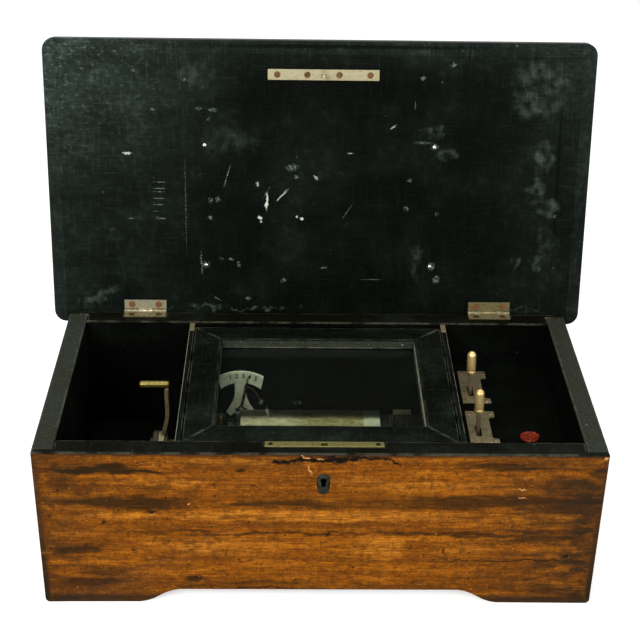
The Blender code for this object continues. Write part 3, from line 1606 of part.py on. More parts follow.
def tune_dial(parent, pointer):
    """The tune indicator: a dial on a bracket, and the pointer that follows the cylinder's shift."""
    place = (DIAL_X, DIAL_Y, DIAL_Z)
    dial = plate("tune_dial", [dial_outline()], DIAL_THICKNESS, "Y", place, dial_metal(), parent)
    front = DIAL_Y - DIAL_THICKNESS
    pin = rod(
        "dial_pin",
        DIAL_PIN_RADIUS,
        (DIAL_X, DIAL_Y - DIAL_THICKNESS / 2, DIAL_Z),
        (DIAL_X, front - SEAT - POINTER_THICKNESS - 0.6, DIAL_Z),
        "Y",
        parent=parent,
        sides=12,
        cutter=True,
    )
    join(dial, pin)
    base = BED_TOP + SEAT
    half = DIAL_BRACKET_WIDTH / 2
    rise = DIAL_Z + 2.5
    outline = [
        (DIAL_X - half, base),
        (DIAL_X + half, base),
        (DIAL_X + half, DIAL_Z - 4.0),
        (DIAL_X + 4.0, rise),
        (DIAL_X - 4.0, rise),
        (DIAL_X - half, DIAL_Z - 4.0),
    ]
    bracket_y = DIAL_Y + SEAT
    bracket = plate(
        "dial_bracket",
        [outline],
        DIAL_BRACKET_THICKNESS,
        "Y",
        (0, bracket_y + DIAL_BRACKET_THICKNESS, 0),
        dark_steel(),
        parent,
    )
    foot = block(
        "dial_bracket_foot",
        (DIAL_X - half, bracket_y + 1.0, base),
        (DIAL_X + half, bracket_y + 12.0, base + 3.0),
        parent=parent,
        cutter=True,
    )
    join(bracket, foot)

    angle = math.radians(POINTER_ANGLE)
    hub = circle(0, 0, POINTER_HUB_RADIUS, 16)
    blade = [(-1.4, 1.0), (1.4, 1.0), (0.45, POINTER_LENGTH), (-0.45, POINTER_LENGTH)]
    hand = plate(
        "tune_pointer",
        [hub, circle(0, 0, DIAL_PIN_RADIUS + RUN, 12)],
        POINTER_THICKNESS,
        "Y",
        (0, POINTER_THICKNESS, 0),
        brass(),
        pointer,
    )

    def turn(points):
        c, s = math.cos(angle), math.sin(angle)
        return [(u * c + v * s, v * c - u * s) for u, v in points]

    tools = []
    knot = 23.0
    shapes = {
        "pointer_blade": turn([(u, max(v, DIAL_PIN_RADIUS + RUN + 0.4)) for u, v in blade]),
        "pointer_knot": turn(circle(0, knot, 1.6, 12)),
        "pointer_feeler": feeler_outline(turn([(0, knot)])[0]),
    }
    back = (0, POINTER_THICKNESS, 0)
    for name, points in shapes.items():
        tools.append(plate(name, [points], POINTER_THICKNESS, "Y", back, parent=pointer, cutter=True))
    join(hand, *tools)


def feeler_outline(start):
    """The thin curved wire that runs from the pointer down towards the cylinder."""
    end = (15.8, 8.0)
    steps = 8
    half = 0.45
    middle = []
    for i in range(steps + 1):
        share = i / steps
        u = start[0] + (end[0] - start[0]) * share + 1.6 * math.sin(math.pi * share)
        v = start[1] + (end[1] - start[1]) * share + 1.6 * math.sin(math.pi * share)
        middle.append((u, v))
    right, left = [], []
    for i, (u, v) in enumerate(middle):
        before = middle[max(i - 1, 0)]
        after = middle[min(i + 1, steps)]
        du, dv = after[0] - before[0], after[1] - before[1]
        length = math.hypot(du, dv)
        right.append((u + half * dv / length, v - half * du / length))
        left.append((u - half * dv / length, v + half * du / length))
    return right + left[::-1]


def control_deck(parent):
    """The deck of the right compartment, cut through below both control levers."""
    left = PARTITION_OUTER + SEAT
    half = INNER_Y - SEAT
    outlines = [rectangle(left, -half, INNER_X - SEAT, half)]
    for pivot_y in (CONTROL_BACK_PIVOT_Y, CONTROL_FRONT_PIVOT_Y):
        reach = CONTROL_ARM_TOP_WIDTH / 2 + CONTROL_LUG_THICKNESS + 2.0
        outlines.append(
            rectangle(
                CONTROL_X - reach,
                pivot_y - CONTROL_SLOT_FRONT - 1.0,
                CONTROL_X + reach,
                pivot_y + CONTROL_SLOT_BACK + 1.0,
            )
        )
    plate(
        "control_deck",
        outlines,
        DECK_THICKNESS,
        "Z",
        (0, 0, DECK_TOP - DECK_THICKNESS),
        ebonised(),
        parent,
    )


def control_plate(name, pivot_y, behind, ahead, back_ear, front_ear, parent):
    """A slotted plate with ears, and below it the two lugs and the pin that carry its lever."""
    back, front = pivot_y + behind, pivot_y - ahead
    left = CONTROL_X - CONTROL_SLOT_WIDTH / 2 - CONTROL_LEFT_RAIL
    waist = CONTROL_X + CONTROL_SLOT_WIDTH / 2 + CONTROL_RIGHT_RAIL
    ear = waist + CONTROL_EAR_REACH
    outline = [
        (left, front),
        (ear, front),
        (ear, front + front_ear),
        (waist, front + front_ear + CONTROL_EAR_SLOPE),
        (waist, back - back_ear - CONTROL_EAR_SLOPE),
        (ear, back - back_ear),
        (ear, back),
        (left, back),
    ]
    slot = rectangle(
        CONTROL_X - CONTROL_SLOT_WIDTH / 2,
        pivot_y - CONTROL_SLOT_FRONT,
        CONTROL_X + CONTROL_SLOT_WIDTH / 2,
        pivot_y + CONTROL_SLOT_BACK,
    )
    cover = plate(
        name, [outline, slot], CONTROL_PLATE_THICKNESS, "Z", (0, 0, CONTROL_PLATE_LOW), steel(), parent
    )
    inner = CONTROL_ARM_TOP_WIDTH / 2 + 0.6
    lug_low = CONTROL_PIVOT_Z - 3.2
    tools = []
    for side, label in ((-1, "left"), (1, "right")):
        xs = sorted((CONTROL_X + side * inner, CONTROL_X + side * (inner + CONTROL_LUG_THICKNESS)))
        tools.append(
            block(
                f"{name}_lug_{label}",
                (xs[0], pivot_y - 3.2, lug_low),
                (xs[1], pivot_y + 3.2, CONTROL_PLATE_LOW + CONTROL_PLATE_THICKNESS / 2),
                parent=parent,
                cutter=True,
            )
        )
    tools.append(
        rod(
            f"{name}_pin",
            CONTROL_PIN_RADIUS,
            (CONTROL_X - inner - CONTROL_LUG_THICKNESS / 2, pivot_y, CONTROL_PIVOT_Z),
            (CONTROL_X + inner + CONTROL_LUG_THICKNESS / 2, pivot_y, CONTROL_PIVOT_Z),
            "X",
            parent=parent,
            sides=12,
            cutter=True,
        )
    )
    return join(cover, *tools)


def control_lever(name, knob_name, pivot):
    """A tapered steel lever with its brass knob. Its frame is the pivot's axis."""
    tilt = empty(f"{name}_lean", (0, 0, 0), pivot)
    tilt.rotation_euler.x = -math.radians(CONTROL_TILT)
    top, foot = CONTROL_ARM_TOP_WIDTH / 2, CONTROL_ARM_FOOT_WIDTH / 2
    thick = CONTROL_ARM_THICKNESS
    start = CONTROL_PIN_RADIUS + RUN + 0.4
    outline = [(foot, start), (top, CONTROL_ARM_LENGTH), (-top, CONTROL_ARM_LENGTH), (-foot, start)]
    arm = plate(name, [outline], thick, "Y", (0, thick / 2, 0), steel(), tilt)
    bore = CONTROL_PIN_RADIUS + RUN
    width = CONTROL_ARM_TOP_WIDTH
    mesh = flat_mesh(
        f"{name}_boss", [circle(0, 0, CONTROL_BOSS_RADIUS, 20), circle(0, 0, bore, 12)], width, "X"
    )
    boss = add_object(f"{name}_boss", mesh, None, tilt, (-width / 2, 0, 0), cutter=True)
    spigot = rod(
        f"{name}_spigot",
        1.2,
        (0, 0, CONTROL_ARM_LENGTH - 2.0),
        (0, 0, CONTROL_ARM_LENGTH + 7.0),
        "Z",
        parent=tilt,
        sides=10,
        cutter=True,
    )
    join(arm, boss, spigot)
    r = KNOB_RADIUS
    length = KNOB_LENGTH
    collar = KNOB_COLLAR
    dome = [
        (r * math.cos(math.radians(a)), length - r * 1.15 * (1 - math.sin(math.radians(a))))
        for a in range(0, 90, 15)
    ]
    profile = [(0.0, 8.2), (1.5, 7.8), (1.5, 0.0)]
    profile += [(r - 0.6, 0.0), (r, 0.5), (r, collar - 0.5), (r - 0.9, collar), (r - 0.9, collar + 0.5)]
    profile += [(r, collar + 0.9), *dome, (0.0, length)]
    turned(knob_name, profile, "Z", (0, 0, CONTROL_ARM_LENGTH + SEAT), brass(), tilt, steps=20)


def wax_seal(parent):
    """A plain round of sealing wax on the deck."""
    r, h = SEAL_RADIUS, SEAL_HEIGHT
    profile = [
        (0.0, 0.0),
        (r * 0.94, 0.0),
        (r, h * 0.35),
        (r * 0.93, h * 0.85),
        (r * 0.82, h),
        (r * 0.72, h * 0.7),
        (0.0, h * 0.68),
    ]
    turned("wax_seal", profile, "Z", (SEAL_X, SEAL_Y, DECK_TOP + SEAT), red_wax(), parent, steps=22)


def build():
    """Builds the music box with its lid open, as it stands on a table."""
    clear_scene()
    root = empty("music_box_origin", (0, -CENTRE_Y, 0))
    lid = empty("lid_hinge_axis", (0, HINGE_Y, CASE_HEIGHT), root)
    lid.rotation_euler.x = -(math.pi / 2 + LEAN)
    inner_lid = empty("inner_lid_axis", (0, GLASS_PIVOT_Y, GLASS_PIVOT_Z), root)
    lever = empty("barrel_axis_lever", (0, BARREL_Y, BARREL_Z), root)
    barrel = empty("barrel_axis", (0, BARREL_Y, BARREL_Z), root)
    arbor = empty("cylinder_axis", (0, CYLINDER_Y, CYLINDER_Z), root)
    governor_axis = empty("governor_axis", (0, CYLINDER_Y, GOVERNOR_Z), root)
    worm_axis = empty("worm_axis", (WORM_X, WORM_Y, GOVERNOR_Z), root)
    pointer_y = DIAL_Y - DIAL_THICKNESS - SEAT - POINTER_THICKNESS
    pointer = empty("pointer_axis", (DIAL_X, pointer_y, DIAL_Z), root)
    back_pivot = empty("back_lever_axis", (CONTROL_X, CONTROL_BACK_PIVOT_Y, CONTROL_PIVOT_Z), root)
    front_pivot = empty("front_lever_axis", (CONTROL_X, CONTROL_FRONT_PIVOT_Y, CONTROL_PIVOT_Z), root)

    case_boards(root)
    lock(root)
    for side, name in ((-1, "left"), (1, "right")):
        partition(f"partition_{name}", side, root)
        pivot_bracket(f"pivot_bracket_{name}", side, root)
    hinges(root, lid)
    outer_lid(lid)
    glass_lid(inner_lid)

    bedplate(root)
    bridge_left = BARREL_LEFT - SEAT - BRIDGE_THICKNESS
    for name, x in (("barrel_bridge_left", bridge_left), ("barrel_bridge_right", RIGHT_BRIDGE_LEFT)):
        arch_plate(
            name,
            BARREL_Y,
            BARREL_Z,
            BRIDGE_HEAD_RADIUS,
            BRIDGE_FOOT_LENGTH,
            BARREL_ARBOR_RADIUS + RUN,
            BRIDGE_THICKNESS,
            x,
            brass(),
            root,
        )
    winding_lever(lever)
    spring_barrel(barrel)
    cylinder_arbor(arbor)
    pinned_cylinder(arbor)
    cylinder_bearings(root)
    comb(root)
    governor(root, governor_axis, worm_axis)
    tune_dial(root, pointer)

    control_deck(root)
    control_plate(
        "control_plate_back",
        CONTROL_BACK_PIVOT_Y,
        BACK_PLATE_BEHIND_PIVOT,
        BACK_PLATE_AHEAD_OF_PIVOT,
        BACK_PLATE_BACK_EAR,
        BACK_PLATE_FRONT_EAR,
        root,
    )
    control_plate(
        "control_plate_front",
        CONTROL_FRONT_PIVOT_Y,
        FRONT_PLATE_BEHIND_PIVOT,
        FRONT_PLATE_AHEAD_OF_PIVOT,
        FRONT_PLATE_BACK_EAR,
        FRONT_PLATE_FRONT_EAR,
        root,
    )
    control_lever("change_repeat_lever", "change_repeat_knob", back_pivot)
    control_lever("start_stop_lever", "start_stop_knob", front_pivot)
    wax_seal(root)


build()
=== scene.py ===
"""Looks of a lever-wound cylinder music box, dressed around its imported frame.

Lengths are written in millimetres and placed in the frame's own metres. A sub-assembly has its own
frame: the case's stands on the floor under the middle of the case, and the lid's lies on the hinge's
axis with the lid as if it were closed.
"""

import json
import logging
import math
import random
from collections.abc import Callable, Sequence
from dataclasses import dataclass, field
from enum import Enum

import bmesh
import bpy
from mathutils import Matrix, Vector

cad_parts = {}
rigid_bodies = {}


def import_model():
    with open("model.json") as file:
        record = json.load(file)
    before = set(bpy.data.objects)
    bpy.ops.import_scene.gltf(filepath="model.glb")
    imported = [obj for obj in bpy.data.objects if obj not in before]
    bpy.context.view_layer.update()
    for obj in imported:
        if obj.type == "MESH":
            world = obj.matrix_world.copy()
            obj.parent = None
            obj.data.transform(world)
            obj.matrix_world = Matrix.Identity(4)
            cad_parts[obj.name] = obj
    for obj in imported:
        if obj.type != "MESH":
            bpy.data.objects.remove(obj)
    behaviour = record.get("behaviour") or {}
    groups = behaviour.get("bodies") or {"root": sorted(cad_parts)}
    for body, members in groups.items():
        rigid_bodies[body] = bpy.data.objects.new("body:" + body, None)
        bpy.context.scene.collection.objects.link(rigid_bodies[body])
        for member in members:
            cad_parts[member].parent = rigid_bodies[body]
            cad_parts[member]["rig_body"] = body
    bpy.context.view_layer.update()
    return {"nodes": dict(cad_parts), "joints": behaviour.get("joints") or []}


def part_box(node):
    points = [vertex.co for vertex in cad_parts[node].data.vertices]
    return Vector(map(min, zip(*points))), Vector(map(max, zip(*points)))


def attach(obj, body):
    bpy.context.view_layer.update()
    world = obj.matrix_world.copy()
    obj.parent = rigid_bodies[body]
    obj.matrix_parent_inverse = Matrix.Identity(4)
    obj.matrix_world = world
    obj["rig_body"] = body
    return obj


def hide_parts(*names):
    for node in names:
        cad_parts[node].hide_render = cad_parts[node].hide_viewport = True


MM = 0.001

log = logging.getLogger("music_box")
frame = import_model()

Socket = bpy.types.NodeSocket
Tree = bpy.types.NodeTree
Colour = tuple[float, float, float, float]


def joint(name: str) -> dict:
    """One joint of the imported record.

    Args:
        name: The joint's name.

    Returns:
        Its row in the record.
    """
    return next(row for row in frame["joints"] if row["name"] == name)


def case_frame() -> Matrix:
    """The case's frame: on the floor, midway between its front and back faces.

    Returns:
        The frame in metres.
    """
    front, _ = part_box("case_front")
    _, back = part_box("case_back")
    return Matrix.Translation((0, (front.y + back.y) / 2, 0))


def lid_frame() -> Matrix:
    """The lid's frame: its origin on the hinge's axis and its closed lie turned open.

    Returns:
        The frame in metres.
    """
    hinge = joint("outer_lid_hinge")
    lean = -math.radians(hinge["range_deg"][1])
    return Matrix.Translation(hinge["pos_m"]) @ Matrix.Rotation(lean, 4, "X")


CASE = case_frame()
LID = lid_frame()

FACING_DOWN = Matrix.Rotation(math.pi, 4, "X")
FACING_FRONT = Matrix.Rotation(math.pi / 2, 4, "X")
ALONG_X = Matrix.Rotation(math.pi / 2, 4, "Y")

# Angles between faces: below the first they are one face, above the others an edge stays sharp.
COPLANAR = math.radians(0.5)
FORM_EDGE = math.radians(30)
TURNED_EDGE = math.radians(38)
EASED_EDGE = math.radians(50)


def linear(code: str) -> Colour:
    """Turns an sRGB hex colour into a linear one.

    Args:
        code: The colour as "#rrggbb".

    Returns:
        Linear red, green and blue, and an alpha of 1.
    """
    parts = [int(code[i:i + 2], 16) / 255 for i in (1, 3, 5)]
    return (*(c / 12.92 if c <= 0.04045 else ((c + 0.055) / 1.055) ** 2.4 for c in parts), 1.0)


def add(tree: Tree, kind: str, inputs: dict | None = None, **settings: object) -> bpy.types.Node:
    """Adds a node with its settings and links.

    Args:
        tree: The node tree.
        kind: The node's type name without its common prefix.
        inputs: Values or sockets by the input's name or number.
        settings: The node's own properties.

    Returns:
        The node.
    """
    node = tree.nodes.new(f"ShaderNode{kind}")
    for key, value in settings.items():
        setattr(node, key, value)
    for key, value in (inputs or {}).items():
        if isinstance(value, Socket):
            tree.links.new(value, node.inputs[key])
        else:
            node.inputs[key].default_value = value
    return node


def millimetres(tree: Tree, place: Matrix) -> Socket:
    """Object coordinates in millimetres in a sub-assembly's frame.

    Args:
        tree: The node tree.
        place: The sub-assembly's frame.

    Returns:
        The coordinates' socket.
    """
    coords = add(tree, "TexCoord").outputs["Object"]
    location, turn, _ = place.decompose()
    values = {"Vector": coords, "Location": location, "Rotation": turn.to_euler(), "Scale": (MM, MM, MM)}
    return add(tree, "Mapping", values, vector_type="TEXTURE").outputs["Vector"]


def cloud(
    tree: Tree,
    space: Socket,
    size: tuple[float, float, float],
    span: tuple[float, float] = (0.35, 0.65),
    detail: float = 4.0,
    seed: float = 0.0,
) -> Socket:
    """Noise between 0 and 1, stretched to its grains' size.

    Args:
        tree: The node tree.
        space: Coordinates in millimetres.
        size: The length of a grain along X, Y and Z, in millimetres.
        span: The noise values that become 0 and 1.
        detail: How many finer layers the noise has.
        seed: Moves the pattern, so that two clouds differ.

    Returns:
        The noise's socket.
    """
    shift = (seed * 3.1, seed * 1.7, seed * 2.3)
    scale = tuple(1 / length for length in size)
    place = add(tree, "Mapping", {"Vector": space, "Location": shift, "Scale": scale}).outputs["Vector"]
    noise = add(tree, "TexNoise", {"Vector": place, "Scale": 1.0, "Detail": detail, "Roughness": 0.58})
    limits = {"Value": noise.outputs["Fac"], "From Min": span[0], "From Max": span[1]}
    return add(tree, "MapRange", limits, interpolation_type="SMOOTHSTEP", clamp=False).outputs["Result"]


def specks(
    tree: Tree,
    space: Socket,
    spacing: tuple[float, float, float],
    radius: float,
    share: float,
    seed: float = 0.0,
) -> Socket:
    """Round specks, scattered at random.

    Args:
        tree: The node tree.
        space: Coordinates in millimetres.
        spacing: Mean distance between places along X, Y and Z, in millimetres.
        radius: A speck's radius as a part of that distance.
        share: The part of the places that have a speck.
        seed: Moves the pattern.

    Returns:
        A mask's socket.
    """
    shift = (seed * 2.7, seed * 1.3, seed * 0.9)
    scale = tuple(1 / length for length in spacing)
    place = add(tree, "Mapping", {"Vector": space, "Location": shift, "Scale": scale}).outputs["Vector"]
    cells = add(tree, "TexVoronoi", {"Vector": place, "Scale": 1.0})
    near = {"Value": cells.outputs["Distance"], "From Min": radius, "From Max": radius * 0.55}
    inside = add(tree, "MapRange", near).outputs["Result"]
    pick = add(tree, "SeparateColor", {"Color": cells.outputs["Color"]}).outputs["Red"]
    chosen = {"Value": pick, "From Min": 1 - share, "From Max": 1 - share * 0.6}
    amount = add(tree, "MapRange", chosen).outputs["Result"]
    return add(tree, "Math", {0: inside, 1: amount}, operation="MULTIPLY").outputs["Value"]


def larger(tree: Tree, masks: Sequence[Socket]) -> Socket:
    """The greatest of several masks at each point.

    Args:
        tree: The node tree.
        masks: The masks' sockets.

    Returns:
        A mask's socket.
    """
    result = masks[0]
    for mask in masks[1:]:
        result = add(tree, "Math", {0: result, 1: mask}, operation="MAXIMUM").outputs["Value"]
    return result


def product(tree: Tree, masks: Sequence[Socket | float]) -> Socket:
    """Several masks multiplied.

    Args:
        tree: The node tree.
        masks: The masks' sockets. All but the first may be plain shares.

    Returns:
        A mask's socket.
    """
    result = masks[0]
    for mask in masks[1:]:
        result = add(tree, "Math", {0: result, 1: mask}, operation="MULTIPLY").outputs["Value"]
    return result


def coats(tree: Tree, ground: str, layers: Sequence[tuple[Socket | float, str]]) -> Socket:
    """Lays colours over a ground, each through its mask.

    Args:
        tree: The node tree.
        ground: The lowest colour, as hex.
        layers: Masks and hex colours, from the lowest up.

    Returns:
        The colour's socket.
    """
    share, below, above, mixed = 0, 6, 7, 2
    result = linear(ground)
    for mask, code in layers:
        values = {share: mask, below: result, above: linear(code)}
        result = add(tree, "Mix", values, data_type="RGBA").outputs[mixed]
    return result


def frayed(
    tree: Tree,
    space: Socket,
    grain: float,
    reach: tuple[float, float, float],
    seed: float = 0.0,
) -> Socket:
    """Coordinates shaken by noise, so that a mark drawn in them gets a ragged outline.

    Args:
        tree: The node tree.
        space: Coordinates in millimetres.
        grain: The shakes' size in millimetres.
        reach: How far a point may move along X, Y and Z, in millimetres.
        seed: Moves the pattern.

    Returns:
        The shaken coordinates' socket.
    """
    shift = (seed * 3.7, seed * 2.9, seed * 1.9)
    scale = (1 / grain,) * 3
    place = add(tree, "Mapping", {"Vector": space, "Location": shift, "Scale": scale}).outputs["Vector"]
    noise = add(tree, "TexNoise", {"Vector": place, "Scale": 1.0, "Detail": 3.0}).outputs["Color"]
    centred = add(tree, "VectorMath", {0: noise, 1: (0.5, 0.5, 0.5)}, operation="SUBTRACT").outputs["Vector"]
    full = tuple(4 * r for r in reach)
    moved = add(tree, "VectorMath", {0: centred, 1: full}, operation="MULTIPLY").outputs["Vector"]
    return add(tree, "VectorMath", {0: space, 1: moved}, operation="ADD").outputs["Vector"]


class Plane(Enum):
    """The plane in which strokes are drawn: the case's front, or the lid's underside."""

    FRONT = "front"
    LID = "lid"


@dataclass(frozen=True)
class Stroke:
    """One scratch, dab or stain, as an ellipse with a soft edge, in millimetres.

    On the lid, v is the distance from the hinge's axis. On the front it is the height.
    """

    x: float
    v: float
    length: float
    width: float
    angle: float = 0.0
    strength: float = 1.0


def trail(points: Sequence[tuple[float, float]], width: float, strength: float = 1.0) -> list[Stroke]:
    """Strokes that follow a path without a break.

    Args:
        points: The path's points, in millimetres.
        width: The strokes' width in millimetres.
        strength: How much they cover.

    Returns:
        A stroke for each stretch of the path.
    """
    overlap = 2.1
    marks = []
    for (x0, v0), (x1, v1) in zip(points, points[1:]):
        angle = math.degrees(math.atan2(v1 - v0, x1 - x0))
        length = math.hypot(x1 - x0, v1 - v0) * overlap
        marks.append(Stroke((x0 + x1) / 2, (v0 + v1) / 2, length, width, angle, strength))
    return marks


def strokes(tree: Tree, space: Socket, plane: Plane, marks: Sequence[Stroke]) -> Socket:
    """Draws strokes in a plane.

    Each stroke fades by a sphere's gradient and joins the others as soon as it is made. A longer chain
    of nodes for each, or joining them at the end, takes more values than the renderer holds at a time.

    Args:
        tree: The node tree.
        space: Coordinates in millimetres.
        plane: The plane that the strokes lie in.
        marks: The strokes.

    Returns:
        A mask's socket.
    """
    through = 1000.0
    full_from = 0.65
    cover = None
    for mark in marks:
        turn = math.radians(mark.angle)
        half = (mark.length / 2, mark.width / 2)
        if plane is Plane.FRONT:
            where, spin, scale = (mark.x, 0, mark.v), (0, -turn, 0), (half[0], through, half[1])
        else:
            where, spin, scale = (mark.x, -mark.v, 0), (0, 0, -turn), (half[0], half[1], through)
        values = {"Vector": space, "Location": where, "Rotation": spin, "Scale": scale}
        local = add(tree, "Mapping", values, vector_type="TEXTURE").outputs["Vector"]
        falloff = add(tree, "TexGradient", {"Vector": local}, gradient_type="SPHERICAL").outputs["Fac"]
        soft = {"Value": falloff, "From Min": 0.0, "From Max": full_from, "To Max": mark.strength}
        mask = add(tree, "MapRange", soft, interpolation_type="SMOOTHSTEP", clamp=False).outputs["Result"]
        cover = larger(tree, [cover, mask]) if cover else mask
    return cover


# The front's marks: the rubbed golden places between the dark bands, and the dark bands.
FRONT_GOLDEN = (
    Stroke(-10, 85.5, 330, 14, 0, 1.0),
    Stroke(160, 84.0, 120, 10, 0, 0.5),
    Stroke(47, 56.0, 60, 32, 0, 1.0),
    Stroke(-80, 56.0, 150, 24, 0, 0.7),
    Stroke(86, 113.0, 110, 15, 0, 0.8),
    Stroke(-120, 116.0, 110, 8, 0, 0.7),
    Stroke(-60, 136.0, 200, 8, 0, 0.5),
    Stroke(110, 54.0, 60, 20, 0, 0.5),
    Stroke(-150, 85.0, 100, 10, 0, 0.7),
    Stroke(-118, 56.0, 60, 20, 0, 0.5),
    Stroke(30, 119.0, 60, 10, 0, 0.5),
)
FRONT_DARK = (
    Stroke(-165, 127.6, 150, 12, 0, 1.0),
    Stroke(-135, 127.6, 74, 8, 0, 1.0),
    Stroke(150, 131.0, 150, 9, 0, 0.85),
    Stroke(-150, 99.0, 150, 17, 0, 0.9),
    Stroke(-30, 98.0, 150, 15, 0, 0.85),
    Stroke(120, 98.5, 260, 17, 0, 0.75),
    Stroke(190, 97.0, 90, 22, 0, 0.8),
    Stroke(40, 98.0, 130, 11, 0, 0.6),
    Stroke(-40, 68.5, 330, 5, 0, 0.75),
    Stroke(120, 68.5, 270, 7, 0, 0.8),
    Stroke(175, 62.0, 110, 12, 0, 0.7),
    Stroke(-188, 52.0, 70, 14, 14, 0.85),
    Stroke(150, 40.5, 150, 3.2, 0, 0.9),
    Stroke(-166, 33.0, 60, 14, 0, 0.7),
    Stroke(-178, 20.0, 90, 14, 4, 0.7),
    Stroke(-97, 21.5, 24, 12, 0, 0.9),
    Stroke(-60, 20.0, 160, 6, 0, 0.5),
    Stroke(190, 112.0, 60, 26, 0, 0.5),
    Stroke(-41, 96.0, 24, 17, -20, 0.7),
    Stroke(-128, 109.0, 34, 14, 10, 0.5),
    Stroke(-5, 13.8, 300, 2.6, 0, 1.0),
    Stroke(-196, 122.0, 30, 40, 0, 0.5),
    Stroke(-176, 104.0, 40, 26, 0, 0.55),
)
# The gouge under the rim near the lock, single dark knocks, and bare pale wood beside them.
GOUGE_PATH = (
    (-36, 136.6), (-29, 134.6), (-23, 135.4), (-18, 137.4), (-13, 139.0), (-8, 137.6), (-2, 136.8),
    (4, 137.6), (10, 136.9), (16, 136.8), (22, 137.8), (28, 139.2),
)
UPPER_GOUGE_PATH = ((2, 140.6), (14, 139.9), (24, 140.6), (34, 139.8), (44, 139.4), (51, 137.9), (58, 133.4))
FRONT_WOUNDS = (
    *trail(GOUGE_PATH, 7.0),
    *trail(UPPER_GOUGE_PATH, 3.0),
    Stroke(12, 137.8, 40, 6.4, 0),
    Stroke(-12, 138.4, 16, 6.0, 10),
    Stroke(-26, 135.4, 18, 5.0, 0),
    Stroke(69, 131.6, 7, 1.4, 10, 0.8),
    Stroke(-60.2, 127.8, 12, 4.4, 10, 0.8),
    Stroke(-50.5, 113.0, 13, 2.4, -6, 0.55),
    Stroke(-128.1, 89.0, 11, 4.2, -8, 0.95),
    Stroke(-108, 92.0, 8, 2.4, 0, 0.7),
    Stroke(-166, 78.5, 5, 5, 0, 0.9),
    Stroke(96.1, 51.4, 3.0, 9.5, 8, 0.85),
    Stroke(191.5, 47.4, 13, 1.5, 38, 0.9),
    Stroke(211.5, 93.5, 6, 1.8, -10, 1.0),
    Stroke(82, 75, 1.4, 7, 10, 0.7),
    Stroke(110, 60, 1.2, 6, 8, 0.6),
    Stroke(6, 68, 5, 10, -30, 0.55),
    Stroke(-72, 50, 2.4, 9, -12, 0.55),
    Stroke(-60, 41, 6, 4, 0, 0.6),
    Stroke(1, 57, 2, 12, 12, 0.5),
    Stroke(95, 117, 3, 16, 0, 0.4),
    Stroke(75, 120, 10, 9, 30, 0.4),
)
FRONT_CHIPS = (
    Stroke(-11, 139.8, 7, 2.0, -14),
    Stroke(-1, 138.6, 8, 1.7, -6, 0.9),
    Stroke(-14.5, 141.4, 5, 1.3, 0, 0.7),
    *trail([(-10.4, 132.4), (-9.2, 129.4), (-7.6, 125.4)], 1.7, 0.8),
    Stroke(213.4, 139.4, 5, 4.6, 30, 0.95),
    Stroke(-100, 95.2, 2.6, 2.8, 0, 0.9),
    Stroke(-128, 86.6, 8, 1.6, 0, 0.6),
    Stroke(152, 111, 9, 2.0, -8, 0.7),
    Stroke(154, 103, 9, 2.0, 0, 0.6),
    Stroke(150, 55, 2.0, 2.8, 0, 0.7),
    Stroke(90, 69.5, 3.4, 1.8, 0, 0.7),
)
# The lid's marks: dark seams, hazy smudges, which are scuffs and, near the right edge and far right corner,
# a painted sheen, fine scratches, grey spots and pale dabs of paint.
LID_SEAMS = (
    Stroke(20, 229, 330, 5, 0, 1.0),
    Stroke(203, 120, 3.4, 230, 0, 1.0),
)
LID_SMUDGES_AND_SHEEN = (
    Stroke(189, 139, 24, 36, 10, 0.9),
    Stroke(186, 111, 20, 30, -20, 0.9),
    Stroke(196, 96, 22, 30, 20, 0.8),
    Stroke(108.7, 140, 18, 16, 30, 0.7),
    Stroke(96, 160, 34, 10, 0, 0.6),
    Stroke(172, 46, 9, 18, -10, 1.0),
    Stroke(190, 44, 10, 20, 0, 0.9),
    Stroke(184, 196, 64, 64, 20, 0.9),
    Stroke(-76, 150, 60, 30, 0, 0.35),
    Stroke(-104, 205, 60, 24, 0, 0.5),
    Stroke(197, 61, 22, 40, 0, 0.5),
    Stroke(84, 46, 12, 50, 0, 0.55),
    Stroke(-190, 14, 60, 14, 28, 1.0),
    Stroke(-75, 4, 150, 4, 0, 1.0),
    Stroke(165, 4, 80, 5, 0, 1.0),
    Stroke(-176, 66, 12, 18, 20, 0.7),
)
LID_SCRATCHES = (
    *(Stroke(-136.0, v, 15, 1.1, 0, 0.45) for v in (114.5, 109.0, 106.2, 100.4, 95.0, 89.2)),
    Stroke(-135.5, 82.8, 11, 1.6, 0, 0.9),
    Stroke(-160, 82.8, 8, 1.2, 0, 0.4),
    Stroke(-113.8, 95, 1.2, 104, 0, 0.22),
    Stroke(-78.3, 120, 28, 1.1, 73, 0.6),
    Stroke(24.2, 90, 22, 0.9, 57, 0.35),
    Stroke(79.5, 181, 1.4, 9, 0, 0.4),
    Stroke(26.3, 140.6, 8, 1.6, 0, 0.8),
    Stroke(-45, 106, 16, 1.0, 60, 0.4),
    Stroke(-88, 12, 14, 1.0, -30, 0.5),
    Stroke(46, 30, 22, 0.9, 0, 0.4),
)
